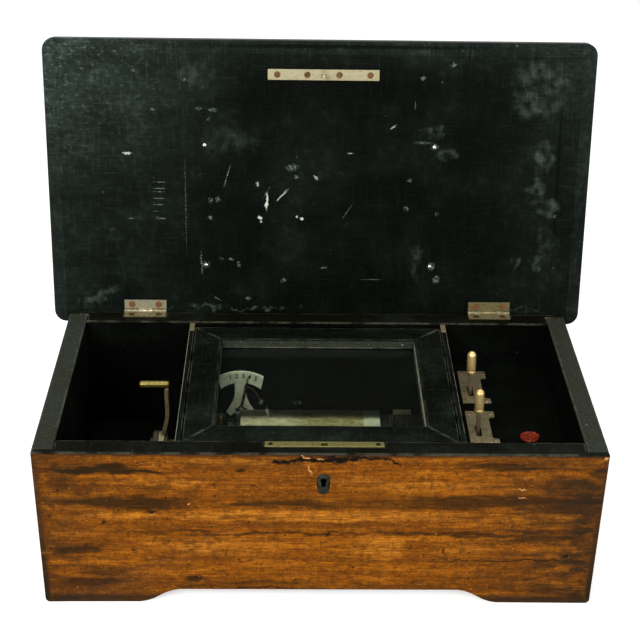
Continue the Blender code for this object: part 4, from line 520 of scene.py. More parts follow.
LID_SPOTS = (
    Stroke(-93, 84, 6, 5, 0, 0.8),
    Stroke(-92.8, 99, 5, 7, 0, 0.6),
    Stroke(-86.2, 100.4, 6, 6, 0, 0.6),
    Stroke(-101, 44, 2.6, 26, 2, 0.7),
    Stroke(-97.0, 42.5, 9, 8, 0, 0.6),
    Stroke(102.8, 30.4, 8, 9, 0, 0.8),
    Stroke(97.0, 146.5, 8, 7, 0, 0.5),
    Stroke(-75.8, 47.2, 6, 4, -20, 0.8),
    Stroke(-83.5, 47.8, 6, 3, -30, 0.6),
    Stroke(-69, 43, 4, 7, 20, 0.7),
    Stroke(-23.2, 128, 14, 7, 10, 0.8),
    Stroke(-19.5, 120, 5, 5, 0, 0.7),
    Stroke(4.7, 40.3, 8, 3, 12, 0.6),
    Stroke(85.3, 204, 7, 4, 20, 0.7),
    Stroke(110.7, 215.7, 6, 5, 40, 0.8),
    Stroke(74.5, 93.4, 5, 5, 0, 0.7),
    Stroke(101.4, 88.7, 4, 4, 0, 0.6),
    Stroke(-113.3, 200.9, 5, 3.4, 0, 0.7),
    Stroke(203.1, 87.6, 3, 3.4, 0, 0.9),
    Stroke(-102, 176.8, 8, 4, 0, 0.8),
    Stroke(-90, 176.0, 10, 5, 0, 0.6),
    Stroke(-93.4, 168.2, 3, 4, 0, 0.7),
    Stroke(-52.3, 113.7, 4, 7, 20, 0.7),
    Stroke(-30, 29, 7, 5, 10, 0.8),
    Stroke(-61, 12, 6, 4, 10, 0.9),
    Stroke(-140, 176, 5, 4, 0, 0.6),
    Stroke(-155, 208, 5, 5, 0, 0.5),
    Stroke(77, 118, 5, 5, 0, 0.6),
    Stroke(88, 150, 20, 3, 0, 0.5),
    Stroke(98, 42, 9, 9, 0, 0.6),
)
LID_DABS = (
    Stroke(-162.5, 138.8, 10, 2.8, -2, 0.7),
    *trail([(-44.6, 94.0), (-44.2, 103.5)], 2.4),
    Stroke(-44.7, 96.0, 3.4, 6, 0, 1.0),
    Stroke(-31.5, 104.6, 13, 1.6, 52, 0.7),
    Stroke(-28.8, 106.2, 11, 1.0, 52, 0.5),
    Stroke(-34.5, 101.0, 6, 1.4, 60, 0.5),
    Stroke(-50.6, 84.2, 5.4, 3.6, -30, 0.95),
    Stroke(-49.6, 80.6, 3, 3, 0, 0.7),
    Stroke(-18.9, 85, 2.2, 2.2, 0, 0.8),
    Stroke(-14.6, 83.9, 3.8, 3.0, 0, 0.95),
    Stroke(-3, 119.7, 6, 2.4, -35, 0.5),
    Stroke(61.4, 163, 8, 2.0, 40, 0.4),
    Stroke(-52.4, 113.6, 3, 4, 20, 0.5),
)


@dataclass
class Surface:
    """What a finish gives the shader."""

    colour: Socket | Colour
    roughness: Socket | float
    height: Socket | None = None
    relief: float = 0.0


@dataclass(frozen=True)
class Finish:
    """A surface named for its real material and how it was made."""

    name: str
    slot: str

    def paint(self, tree: Tree) -> Surface:
        """Builds the finish's patterns.

        Args:
            tree: The material's node tree.

        Returns:
            What the shader needs.
        """
        raise NotImplementedError

    def constants(self) -> dict[str, float]:
        """Shader values that are the same all over."""
        return {}

    def material(self) -> bpy.types.Material:
        """The finish's material, made once.

        Returns:
            The material.
        """
        known = bpy.data.materials.get(self.name)
        if known:
            return known
        made = bpy.data.materials.new(self.name)
        made.use_nodes = True
        tree = made.node_tree
        shader = tree.nodes["Principled BSDF"]
        for socket, value in self.constants().items():
            shader.inputs[socket].default_value = value
        surface = self.paint(tree)
        for socket, value in (("Base Color", surface.colour), ("Roughness", surface.roughness)):
            if isinstance(value, Socket):
                tree.links.new(value, shader.inputs[socket])
            else:
                shader.inputs[socket].default_value = value
        if surface.height:
            values = {"Height": surface.height, "Distance": surface.relief * MM, "Strength": 1.0}
            bump = add(tree, "Bump", values).outputs["Normal"]
            tree.links.new(bump, shader.inputs["Normal"])
        return made


class Grain(Enum):
    """The way a board's grain runs."""

    ACROSS = "x"
    FORE_AND_AFT = "y"

    def size(self, along: float, over: float) -> tuple[float, float, float]:
        """A grain's size, long along the board and short over it.

        Args:
            along: Its length in millimetres.
            over: Its thickness in millimetres. It is three times as wide.

        Returns:
            Its size along X, Y and Z, in millimetres.
        """
        if self is Grain.ACROSS:
            return (along, over * 3, over)
        return (over * 3, along, over)


@dataclass(frozen=True)
class PolishedStainedBoard(Finish):
    """Straight-grained board, stained orange-brown and shellac polished, worn for a century.

    Dark grain bands run along it, the front darkens towards its ends, its foot and its top edge, the polish
    has gone patchy, and small knocks show. Real fibres and pores are a tenth to a third of a millimetre
    thick. The render can't show them, so they are drawn about 1 mm thick.
    """

    grain: Grain = Grain.ACROSS
    weathered: float = 0.0
    front_marks: bool = False

    def constants(self) -> dict[str, float]:
        """Thin aged polish: a dielectric with a dulled gloss."""
        return {"IOR": 1.45, "Specular IOR Level": 0.035}

    def paint(self, tree: Tree) -> Surface:
        """Grain bands, fibres, pores, darkening towards the front's ends, foot and top edge, and knocks.

        Args:
            tree: The material's node tree.

        Returns:
            What the shader needs.
        """
        space = millimetres(tree, CASE)
        g = self.grain
        broad = cloud(tree, space, g.size(300, 17), span=(0.40, 0.60), detail=3, seed=1)
        bands = cloud(tree, space, g.size(150, 4.6), span=(0.40, 0.64), detail=5, seed=2)
        fibres = cloud(tree, space, g.size(30, 0.8), span=(0.42, 0.62), detail=6, seed=3)
        bright = cloud(tree, space, g.size(60, 8), span=(0.46, 0.68), detail=5, seed=5)
        mottle = cloud(tree, space, g.size(9, 3.4), span=(0.47, 0.66), detail=6, seed=4)
        stipple = cloud(tree, space, g.size(2.6, 1.15), span=(0.50, 0.68), detail=3, seed=12)
        sparks = cloud(tree, space, g.size(4.4, 1.3), span=(0.56, 0.74), detail=3, seed=13)
        pores = specks(tree, space, g.size(3.4, 1.0), radius=0.34, share=0.3, seed=6)
        ticks = cloud(tree, space, (1.0, 1.0, 5.0), span=(0.58, 0.72), detail=4, seed=19)
        figure = cloud(tree, space, (5.0, 5.0, 7.0), span=(0.48, 0.68), detail=6, seed=20)
        knocks = specks(tree, space, (9, 9, 9), radius=0.15, share=0.34, seed=7)
        flecks = specks(tree, space, (8, 8, 6), radius=0.08, share=0.2, seed=8)
        layers = [
            (product(tree, [broad, 0.5]), "#6a380b"),
            (product(tree, [bright, 0.75]), "#c87618"),
            (product(tree, [bands, 0.55]), "#5a300b"),
        ]
        if self.front_marks:
            layers.append((product(tree, [self.light_bands(tree, space), 0.8]), "#d98a2a"))
        layers += [
            (product(tree, [fibres, 0.5]), "#4c2808"),
            (product(tree, [mottle, 0.6]), "#4b2a0c"),
            (product(tree, [sparks, 0.36]), "#d88a2c"),
            (product(tree, [stipple, 0.5]), "#3a2109"),
            (product(tree, [figure, 0.5]), "#54300e"),
            (product(tree, [ticks, 0.7]), "#341d08"),
            (product(tree, [pores, 0.6]), "#261505"),
        ]
        marked = [knocks]
        if self.front_marks:
            ragged = frayed(tree, space, grain=4.0, reach=(1.6, 0, 1.5), seed=14)
            layers.append((product(tree, [self.dark_bands(tree, space), 0.97]), "#251909"))
            # Darker towards the ends, along the foot and at the top edge under the rim.
            layers.append((self.grime(tree, space), "#251d12"))
            wounds = strokes(tree, ragged, Plane.FRONT, FRONT_WOUNDS)
            layers.append((wounds, "#100d08"))
            layers.append((strokes(tree, ragged, Plane.FRONT, FRONT_CHIPS), "#cf9258"))
            marked.append(wounds)
        layers.append((product(tree, [knocks, 0.8]), "#241507"))
        layers.append((product(tree, [flecks, 0.6]), "#d8a468"))
        if self.weathered:
            layers.append((self.weathered, "#2c1c0e"))
        rough = {"Value": mottle, "To Min": 0.36, "To Max": 0.58}
        roughness = add(tree, "MapRange", rough).outputs["Result"]
        dents = larger(tree, [product(tree, [fibres, 0.25]), *marked])
        height = add(tree, "Math", {0: 1.0, 1: dents}, operation="SUBTRACT").outputs["Value"]
        return Surface(coats(tree, "#99560c", layers), roughness, height, 0.16)

    def light_bands(self, tree: Tree, space: Socket) -> Socket:
        """The rubbed golden places of the front, between the dark bands.

        Args:
            tree: The node tree.
            space: Coordinates in millimetres.

        Returns:
            A mask's socket.
        """
        ragged = frayed(tree, space, grain=14.0, reach=(6.0, 0, 2.2), seed=17)
        drawn = strokes(tree, ragged, Plane.FRONT, FRONT_GOLDEN)
        broken = cloud(tree, space, (34, 34, 2.6), span=(0.30, 0.64), detail=6, seed=18)
        return product(tree, [drawn, broken])

    def dark_bands(self, tree: Tree, space: Socket) -> Socket:
        """The dark bands of the front, broken up along the grain.

        Args:
            tree: The node tree.
            space: Coordinates in millimetres.

        Returns:
            A mask's socket.
        """
        wander = cloud(tree, space, (60, 60, 9), span=(0.3, 0.7), detail=4, seed=9)
        shift = add(tree, "MapRange", {"Value": wander, "To Min": -3.4, "To Max": 3.4}).outputs["Result"]
        offset = add(tree, "CombineXYZ", {"Z": shift}).outputs["Vector"]
        bent = add(tree, "VectorMath", {0: space, 1: offset}, operation="ADD").outputs["Vector"]
        ragged = frayed(tree, bent, grain=9.0, reach=(3.0, 0, 1.6), seed=15)
        drawn = strokes(tree, ragged, Plane.FRONT, FRONT_DARK)
        broken = cloud(tree, space, (44, 44, 2.4), span=(0.10, 0.47), detail=6, seed=10)
        return product(tree, [drawn, broken])

    def grime(self, tree: Tree, space: Socket) -> Socket:
        """Darker towards the ends, along the foot and under the rim, and at the arrises of the ends.

        Args:
            tree: The node tree.
            space: Coordinates in millimetres.

        Returns:
            A mask's socket.
        """
        axes = add(tree, "SeparateXYZ", {"Vector": space})
        right = {"Value": axes.outputs["X"], "From Min": 100, "From Max": 205, "To Max": 1.0}
        left = {"Value": axes.outputs["X"], "From Min": -150, "From Max": -212, "To Max": 0.7}
        foot = {"Value": axes.outputs["Z"], "From Min": 26, "From Max": 2, "To Max": 0.6}
        hem = {"Value": axes.outputs["Z"], "From Min": 12, "From Max": 5}
        rim = {"Value": axes.outputs["Z"], "From Min": 139.0, "From Max": 141.6}
        low = {"Value": axes.outputs["Z"], "From Min": 100, "From Max": 10}
        ends = []
        for edge in (-1, 1):
            reach = {"Value": axes.outputs["X"], "From Min": 207.5 * edge, "From Max": 213 * edge}
            ends.append(add(tree, "MapRange", reach).outputs["Result"])
        fall = add(tree, "MapRange", {**low, "To Min": 0.7, "To Max": 1.0}).outputs["Result"]
        spread = [add(tree, "MapRange", e).outputs["Result"] for e in (right, left, foot)]
        close = [add(tree, "MapRange", e).outputs["Result"] for e in (hem, rim)]
        uneven = cloud(tree, space, (24, 24, 9), span=(0.3, 0.62), detail=6, seed=11)
        worn = cloud(tree, space, (14, 14, 8), span=(0.1, 0.5), detail=5, seed=16)
        return larger(tree, [
            product(tree, [larger(tree, spread), uneven, 0.92]),
            product(tree, [larger(tree, close), worn, 0.85]),
            product(tree, [larger(tree, ends), fall, worn]),
        ])


@dataclass(frozen=True)
class EbonisedPolish(Finish):
    """Softwood stained black and polished: a green-black ground that scuffs grey.

    Haze, brush marks, dabs and fine scratches lie on a satin film. On the lid a painted sheen lies towards
    its left, right and far edges. Brush marks and grit are drawn 1.3 to 1.5 mm across, coarser than the real
    ones, so that the render shows them.
    """

    place: Matrix = field(default_factory=lambda: CASE.copy())
    ground: str = "#0c0f0c"
    haze: float = 0.35
    satin: float = 0.36
    strokes_on_lid: bool = False
    rubbed: float = 0.0
    arris_width: float = 0.9

    def constants(self) -> dict[str, float]:
        """Old black film: low reflectance, because dust and wear dull it."""
        return {"IOR": 1.45, "Specular IOR Level": 0.025}

    def paint(self, tree: Tree) -> Surface:
        """Haze, brush marks, scratches and dabs, and on the lid a painted sheen with painted highlights and
        shade on its crinkle.

        Args:
            tree: The material's node tree.

        Returns:
            What the shader needs.
        """
        space = millimetres(tree, self.place)
        smudge = cloud(tree, space, (62, 62, 62), span=(0.44, 0.72), detail=7, seed=21)
        mottle = cloud(tree, space, (6, 6, 6), span=(0.46, 0.72), detail=6, seed=22)
        across = cloud(tree, space, (26, 1.3, 1.3), span=(0.5, 0.78), detail=5, seed=23)
        along = cloud(tree, space, (1.3, 24, 24), span=(0.5, 0.78), detail=5, seed=24)
        grit = cloud(tree, space, (1.5, 1.5, 1.5), span=(0.52, 0.68), detail=4, seed=38)
        dust = specks(tree, space, (4.2, 4.2, 4.2), radius=0.13, share=0.22, seed=25)
        dabs = specks(tree, space, (15, 15, 15), radius=0.09, share=0.22, seed=26)
        brushed = larger(tree, [across, along])
        layers = [
            (product(tree, [smudge, self.haze]), "#2c3630"),
            (product(tree, [smudge, mottle, self.haze * 0.8]), "#3d4840"),
            (product(tree, [brushed, min(0.5, self.haze) * 0.55]), "#3b4640"),
            (product(tree, [grit, self.haze ** 2 * 0.7]), "#5f675a"),
            (product(tree, [dust, self.haze * 0.9]), "#59665d"),
            (product(tree, [dabs, min(1.0, self.haze * 1.2)]), "#7c897e"),
        ]
        if self.rubbed:
            layers.append((product(tree, [self.arrises(tree, space), self.rubbed]), "#a8a48e"))
        if self.strokes_on_lid:
            layers += self.lid_wear(tree, space, brushed, mottle)
        limits = {"Value": smudge, "To Min": self.satin, "To Max": self.satin + 0.16}
        roughness = add(tree, "MapRange", limits).outputs["Result"]
        film = larger(tree, [product(tree, [brushed, 0.5]), product(tree, [mottle, 0.6])])
        return Surface(coats(tree, self.ground, layers), roughness, film, 0.12)

    def arrises(self, tree: Tree, space: Socket) -> Socket:
        """The edges where hands have rubbed the black through, found from the rounded normal.

        Args:
            tree: The node tree.
            space: Coordinates in millimetres.

        Returns:
            A mask's socket.
        """
        rounded_off = add(tree, "Bevel", {"Radius": self.arris_width * MM}, samples=6).outputs["Normal"]
        flat = add(tree, "NewGeometry").outputs["Normal"]
        level = add(tree, "VectorMath", {0: rounded_off, 1: flat}, operation="DOT_PRODUCT").outputs["Value"]
        edge = add(tree, "MapRange", {"Value": level, "From Min": 0.985, "From Max": 0.85}).outputs["Result"]
        broken = cloud(tree, space, (16, 16, 16), span=(0.38, 0.58), detail=7, seed=33)
        return product(tree, [edge, broken])

    def lid_wear(self, tree: Tree, space: Socket, brushed: Socket, mottle: Socket) -> list[tuple]:
        """The lid's painted sheen towards its left and right ends and its far edge, painted highlights and
        shade on the paint's crinkle there, scuffs along its edges, and its single marks.

        Args:
            tree: The node tree.
            space: Coordinates in the lid's frame, in millimetres.
            brushed: The brush marks' mask.
            mottle: The fine cloud's mask.

        Returns:
            Masks and colours for coats().
        """
        axes = add(tree, "SeparateXYZ", {"Vector": space})
        left = {"Value": axes.outputs["X"], "From Min": -60, "From Max": -225}
        right = {"Value": axes.outputs["X"], "From Min": 130, "From Max": 225, "To Max": 0.36}
        outer = {"Value": axes.outputs["Y"], "From Min": -100, "From Max": -225}
        crown = {"Value": axes.outputs["Y"], "From Min": -200, "From Max": -240, "To Max": 0.3}
        sides = [add(tree, "MapRange", e).outputs["Result"] for e in (left, right)]
        rise = add(tree, "MapRange", {**outer, "To Min": 0.2, "To Max": 1.0}).outputs["Result"]
        top = add(tree, "MapRange", crown).outputs["Result"]
        # The painted sheen's mask: strongest at the left end, weaker at the right, rising towards the far
        # edge.
        painted_sheen = larger(tree, [product(tree, [larger(tree, sides), rise]), top])
        drift = cloud(tree, space, (34, 26, 30), span=(0.36, 0.6), detail=5, seed=27)
        woven = add(tree, "MapRange", {"Value": brushed, "To Min": 0.45, "To Max": 1.0}).outputs["Result"]
        patchy = add(tree, "MapRange", {"Value": mottle, "To Min": 0.5, "To Max": 1.0}).outputs["Result"]
        drifting = add(tree, "MapRange", {"Value": drift, "To Min": 0.55, "To Max": 1.0}).outputs["Result"]
        ragged = frayed(tree, space, grain=2.6, reach=(0.9, 0.9, 0), seed=28)
        torn = frayed(tree, space, grain=9.0, reach=(5.0, 5.0, 0), seed=29)
        broken = cloud(tree, space, (1.7, 1.7, 1.7), span=(0.40, 0.58), detail=4, seed=30)
        crinkle_highlights = cloud(tree, space, (4.2, 2.8, 2.8), span=(0.54, 0.7), detail=7, seed=36)
        dimple_shade = cloud(tree, space, (7, 4.0, 4.0), span=(0.48, 0.66), detail=7, seed=37)
        scuffed = cloud(tree, space, (7.0, 9.0, 7.0), span=(0.36, 0.72), detail=9, seed=39)
        strong_sheen = product(tree, [painted_sheen, painted_sheen])
        return [
            # Painted sheen: a grey-green lightening towards the left and right ends and the far edge,
            # standing in for reflected light.
            (product(tree, [painted_sheen, woven, patchy, drifting, 0.9]), "#5a6d61"),
            # Painted shade in the paint's dimples and painted highlights on its crinkled ridges, inside the
            # strong sheen.
            (product(tree, [strong_sheen, dimple_shade, 0.6]), "#0b0e0b"),
            (product(tree, [strong_sheen, crinkle_highlights, 0.34]), "#8d9d92"),
            (product(tree, [strokes(tree, ragged, Plane.LID, LID_SEAMS), 0.75]), "#050604"),
            # Smudges: scuffs, and near the right edge and far right corner a painted sheen.
            (product(tree, [strokes(tree, torn, Plane.LID, LID_SMUDGES_AND_SHEEN), scuffed, woven, 0.75]), "#5d6c61"),
            (product(tree, [strokes(tree, space, Plane.LID, LID_SCRATCHES), broken, 0.9]), "#98a396"),
            (product(tree, [strokes(tree, ragged, Plane.LID, LID_SPOTS), broken, 0.8]), "#76847a"),
            (product(tree, [strokes(tree, ragged, Plane.LID, LID_DABS), 0.95]), "#d3d9c9"),
        ]


@dataclass(frozen=True)
class WornMetal(Finish):
    """A metal with its tarnish, rubbed edges and fine scratches.

    Reflection comes from the metallic value and roughness; tarnish dulls both in patches. Rubbed
    lines are drawn 0.35 mm thick, coarser than real ones, so that they show.
    """

    place: Matrix = field(default_factory=lambda: CASE.copy())
    ground: str = "#c9a860"
    tarnish: str = "#6b5a2e"
    spots: str = "#3a2a16"
    tarnished: float = 0.5
    spotted: float = 0.3
    patch: float = 7.0
    rough: tuple[float, float] = (0.25, 0.45)
    metallic: float = 1.0

    def constants(self) -> dict[str, float]:
        """A metal keeps the default IOR."""
        return {"Metallic": self.metallic}

    def paint(self, tree: Tree) -> Surface:
        """Tarnish patches, corrosion spots and scratches.

        Args:
            tree: The material's node tree.

        Returns:
            What the shader needs.
        """
        space = millimetres(tree, self.place)
        patch = self.patch
        film = cloud(tree, space, (patch, patch, patch), span=(0.4, 0.68), detail=6, seed=31)
        spots = specks(tree, space, (2.6, 2.6, 2.6), radius=0.3, share=0.3, seed=32)
        fine = cloud(tree, space, (9, 0.35, 0.35), span=(0.45, 0.7), detail=2, seed=33)
        layers = [
            (product(tree, [film, self.tarnished]), self.tarnish),
            (product(tree, [spots, self.spotted]), self.spots),
            (product(tree, [fine, 0.18]), self.spots),
        ]
        limits = {"Value": film, "To Min": self.rough[0], "To Max": self.rough[1]}
        roughness = add(tree, "MapRange", limits).outputs["Result"]
        pits = larger(tree, [product(tree, [spots, 0.7]), product(tree, [fine, 0.3])])
        height = add(tree, "Math", {0: 1.0, 1: pits}, operation="SUBTRACT").outputs["Value"]
        return Surface(coats(tree, self.ground, layers), roughness, height, 0.03)


@dataclass(frozen=True)
class PinnedCylinderBrass(WornMetal):
    """Drawn brass tube, browned and dusty over its middle and bare and pale at its right end."""

    def paint(self, tree: Tree) -> Surface:
        """Bands of dust and tarnish round the tube.

        Args:
            tree: The material's node tree.

        Returns:
            What the shader needs.
        """
        space = millimetres(tree, self.place)
        along = add(tree, "SeparateXYZ", {"Vector": space}).outputs["X"]
        worn = cloud(tree, space, (7, 3, 3), span=(0.38, 0.66), detail=6, seed=34)
        dots = specks(tree, space, (1.5, 1.5, 1.5), radius=0.42, share=0.35, seed=35)
        middle = {"Value": along, "From Min": -22, "From Max": -12}
        beyond = {"Value": along, "From Min": 36.6, "From Max": 36.2}
        start, stop = (add(tree, "MapRange", e).outputs["Result"] for e in (middle, beyond))
        pale = add(tree, "Math", {0: 1.0, 1: stop}, operation="SUBTRACT").outputs["Value"]
        layers = [
            (product(tree, [worn, 0.6]), "#4c4730"),
            (product(tree, [start, stop, 0.62]), "#5c5230"),
            (product(tree, [start, stop, worn, 0.6]), "#352c16"),
            (product(tree, [pale, 0.9]), "#7c7a6a"),
            (product(tree, [dots, 0.4]), "#2e2814"),
        ]
        return Surface(coats(tree, "#77725a", layers), 0.3, dots, 0.02)


@dataclass(frozen=True)
class ClearGlass(Finish):
    """Old crown glass, 2 mm thick, nearly clear with a green cast."""

    def constants(self) -> dict[str, float]:
        """Soda glass."""
        return {"IOR": 1.5, "Transmission Weight": 0.9975, "Specular IOR Level": 0.4}

    def paint(self, tree: Tree) -> Surface:
        """A slight ripple and dust.

        Args:
            tree: The material's node tree.

        Returns:
            What the shader needs.
        """
        space = millimetres(tree, CASE)
        ripple = cloud(tree, space, (60, 45, 60), span=(0.2, 0.8), detail=1, seed=41)
        return Surface(linear("#f7fff5"), 0.02, ripple, 0.02)


@dataclass(frozen=True)
class SealingWax(Finish):
    """Red sealing wax, pressed while warm: glossy, with a pale worn rim."""

    def constants(self) -> dict[str, float]:
        """Wax with a little light under its skin."""
        return {"IOR": 1.44, "Specular IOR Level": 0.2, "Subsurface Weight": 0.1, "Subsurface Scale": 0.002}

    def paint(self, tree: Tree) -> Surface:
        """Darker folds and chipped pale spots.

        Args:
            tree: The material's node tree.

        Returns:
            What the shader needs.
        """
        space = millimetres(tree, CASE)
        folds = cloud(tree, space, (3.5, 3.5, 3.5), span=(0.4, 0.65), detail=4, seed=51)
        worn = specks(tree, space, (2.4, 2.4, 2.4), radius=0.25, share=0.25, seed=52)
        layers = [(product(tree, [folds, 0.8]), "#3c1206"), (product(tree, [worn, 0.6]), "#c99a84")]
        return Surface(coats(tree, "#8c2b0c", layers), 0.3, folds, 0.45)


@dataclass(frozen=True)
class Casting(Finish):
    """Sand-cast iron under black japan, with a fine orange-peel surface."""

    def paint(self, tree: Tree) -> Surface:
        """Casting grain and dust.

        Args:
            tree: The material's node tree.

        Returns:
            What the shader needs.
        """
        space = millimetres(tree, CASE)
        grain = cloud(tree, space, (1.4, 1.4, 1.4), span=(0.3, 0.7), detail=3, seed=61)
        dust = cloud(tree, space, (30, 30, 30), span=(0.45, 0.75), detail=6, seed=62)
        layers = [(product(tree, [dust, 0.35]), "#3c3a30"), (product(tree, [grain, 0.2]), "#1c1c18")]
        return Surface(coats(tree, "#161713", layers), 0.5, grain, 0.1)


@dataclass(frozen=True)
class DryBoard(Finish):
    """Unpolished pine under the case, browned with age, its upper side washed black."""

    ground: str = "#3d2a18"

    def paint(self, tree: Tree) -> Surface:
        """Grain lines and stains.

        Args:
            tree: The material's node tree.

        Returns:
            What the shader needs.
        """
        space = millimetres(tree, CASE)
        rings = cloud(tree, space, (120, 5, 5), span=(0.4, 0.65), detail=5, seed=71)
        stains = cloud(tree, space, (40, 40, 40), span=(0.45, 0.7), detail=5, seed=72)
        layers = [(product(tree, [rings, 0.5]), "#241708"), (product(tree, [stains, 0.5]), "#17110a")]
        return Surface(coats(tree, self.ground, layers), 0.75, rings, 0.12)


@dataclass(frozen=True)
class PlainInk(Finish):
    """A flat printed or painted black, such as a figure or the bottom of a slot."""

    ground: str = "#17150f"

    def paint(self, tree: Tree) -> Surface:
        """Ink with uneven cover.

        Args:
            tree: The material's node tree.

        Returns:
            What the shader needs.
        """
        space = millimetres(tree, CASE)
        thin = cloud(tree, space, (1.2, 1.2, 1.2), span=(0.4, 0.7), detail=3, seed=81)
        return Surface(coats(tree, self.ground, [(product(tree, [thin, 0.4]), "#4a4636")]), 0.6)


@dataclass(frozen=True)
class PaleFloor(Finish):
    """A plain white studio floor that shows white to the camera and keeps the shadow."""

    paper: str = "#f4f4f2"
    matt: float = 0.9
    lift: float = 0.5

    def material(self) -> bpy.types.Material:
        """White paper, lifted for the rays that see it as background.

        Returns:
            The material.
        """
        made = bpy.data.materials.new(self.name)
        made.use_nodes = True
        tree = made.node_tree
        shader = tree.nodes["Principled BSDF"]
        shader.inputs["Base Color"].default_value = linear(self.paper)
        shader.inputs["Roughness"].default_value = self.matt
        shader.inputs["Specular IOR Level"].default_value = 0.0
        shader.inputs["Emission Color"].default_value = (1, 1, 1, 1)
        lift = add(tree, "Math", {0: seen_as_background(tree), 1: self.lift}, operation="MULTIPLY")
        tree.links.new(lift.outputs["Value"], shader.inputs["Emission Strength"])
        return made


def seen_as_background(tree: Tree) -> Socket:
    """1 for camera, glossy and transmission rays, and 0 for the others.

    Args:
        tree: The node tree.

    Returns:
        A mask's socket.
    """
    rays = add(tree, "LightPath")
    kinds = [rays.outputs[f"Is {kind} Ray"] for kind in ("Camera", "Glossy", "Transmission")]
    return larger(tree, kinds)


# Shellac over an orange-brown stain: satin, with dark bands, golden places and old knocks.
FRONT_WOOD = PolishedStainedBoard(
    "shellac_polished_stained_front_board", "front_wood", grain=Grain.ACROSS, front_marks=True,
)
# The same polish on the back: duller and browner, without the front's own marks.
BACK_WOOD = PolishedStainedBoard(
    "shellac_polished_stained_back_board", "front_wood", grain=Grain.ACROSS, weathered=0.25,
)
# The same polish on the end boards: a little dull, with the grain running fore and aft.
SIDE_WOOD = PolishedStainedBoard(
    "shellac_polished_stained_end_board", "front_wood", grain=Grain.FORE_AND_AFT, weathered=0.2,
)
# Black polish under the lid: deep and faintly green, greyed by haze, scratches and dabs, with a painted
# sheen towards its left, right and far edges.
LID_BLACK = EbonisedPolish(
    "ebonised_scuffed_lid_board", "ebonised_wood", place=LID, ground="#050704", haze=0.14, satin=0.34,
    strokes_on_lid=True,
)
# The lid's outward faces: the same black, cleaner and with more gloss.
LID_TOP = EbonisedPolish(
    "ebonised_polished_lid_top", "ebonised_wood", place=LID, ground="#0a0c09", haze=0.22, satin=0.3,
)
# The lid's mouldings: black, greyed by handling, with the lid's painted sheen towards the left, right and
# far edges.
LID_EDGE = EbonisedPolish(
    "ebonised_rubbed_lid_moulding", "ebonised_wood", place=LID, ground="#0a0d0a", haze=0.3, satin=0.32,
    strokes_on_lid=True,
)
# The long boards' rims: satin black, their arrises rubbed through to pale wood.
RIM_BLACK = EbonisedPolish(
    "ebonised_front_rim", "ebonised_wood", ground="#0c0b05", haze=0.16, satin=0.34, rubbed=0.6,
    arris_width=2.6,
)
# The end boards' rims: rubbed to a matt greyish brown.
RIM_MATT = EbonisedPolish(
    "ebonised_rim_rubbed_matt", "ebonised_wood", ground="#2d2e26", haze=0.6, satin=0.6, rubbed=0.5,
    arris_width=2.6,
)
# A thin wash inside the case: black with almost no gloss.
INNER_BLACK = EbonisedPolish(
    "lamp_black_washed_inside", "ebonised_wood", ground="#050604", haze=0.06, satin=0.55,
)
# The partitions: satin black, lightly rubbed at the arrises.
PARTITION_BLACK = EbonisedPolish(
    "ebonised_partition_rubbed", "ebonised_wood", ground="#0a0b07", haze=0.15, satin=0.4, rubbed=0.4,
    arris_width=1.5,
)
# The glazing frame: dusty satin black with rubbed arrises.
FRAME_BLACK = EbonisedPolish(
    "ebonised_glazing_frame", "ebonised_wood", ground="#090b06", haze=0.26, satin=0.3, rubbed=0.6,
    arris_width=1.9,
)
# Inner faces of the glazing frame and arrises rubbed down to a dark greenish grey.
SIGHT_EDGE = EbonisedPolish(
    "stained_bead_rubbed_bare", "ebonised_wood", ground="#2c3026", haze=1.0, satin=0.45, rubbed=1.0,
    arris_width=2.6,
)
# The same, pale where hands have worn it and where a painted highlight stands for light caught on the right
# rail's inner face and the left partition's arris.
SIGHT_WORN_AND_HIGHLIT = EbonisedPolish(
    "stained_bead_worn_pale", "ebonised_wood", ground="#8d917c", haze=0.5, satin=0.45, rubbed=0.6,
    arris_width=2.0,
)
# Turned and polished brass: yellow and bright, with a little tarnish.
BRASS = WornMetal("turned_polished_brass", "brass")
# The lock's plate: brass gone olive and nearly matt.
DULL_BRASS = WornMetal(
    "rolled_brass_dulled", "aged_brass", ground="#969058", tarnish="#6d6638", spots="#3a2c14",
    tarnished=0.7, spotted=0.6, patch=6.0, rough=(0.38, 0.6),
)
# The strike plate: greyed brass with brown spots.
LID_BRASS = WornMetal(
    "rolled_brass_lid_plate", "aged_brass", place=LID, ground="#aaa282", tarnish="#817a50",
    spots="#4a3a1e", tarnished=0.6, spotted=0.6, patch=5.0, rough=(0.36, 0.6), metallic=0.75,
)
# The left hinge in the lid: brass with brown spots, painted pale as if lit from the left.
LIT_HINGE_BRASS = WornMetal(
    "rolled_brass_hinge_left", "aged_brass", place=LID, ground="#b8b197", tarnish="#6f6748",
    spots="#46341a", tarnished=0.7, spotted=0.6, patch=4.0, rough=(0.3, 0.55), metallic=0.8,
)
# The right hinge in the lid: the same brass painted browner and olive, as if in shade from the left light.
SHADED_HINGE_BRASS = WornMetal(
    "rolled_brass_hinge_right", "aged_brass", place=LID, ground="#8a8158", tarnish="#5b5130",
    spots="#3d2a14", tarnished=0.8, spotted=0.6, patch=4.0, rough=(0.3, 0.55), metallic=0.8,
)
# The knobs: golden, kept bright by fingers.
KNOB_BRASS = WornMetal(
    "turned_brass_handled", "brass", ground="#ecd08a", tarnish="#b88c4c", spots="#5a3a1c", tarnished=0.5,
    spotted=0.12, patch=9.0, rough=(0.22, 0.38), metallic=0.6,
)
# The winding grip: brown-olive brass with dull patches.
GRIP_BRASS = WornMetal(
    "turned_brass_grip_dulled", "brass", ground="#887a3c", tarnish="#4a4020", spots="#30270f",
    tarnished=0.7, spotted=0.5, patch=4.0, rough=(0.3, 0.5), metallic=0.75,
)
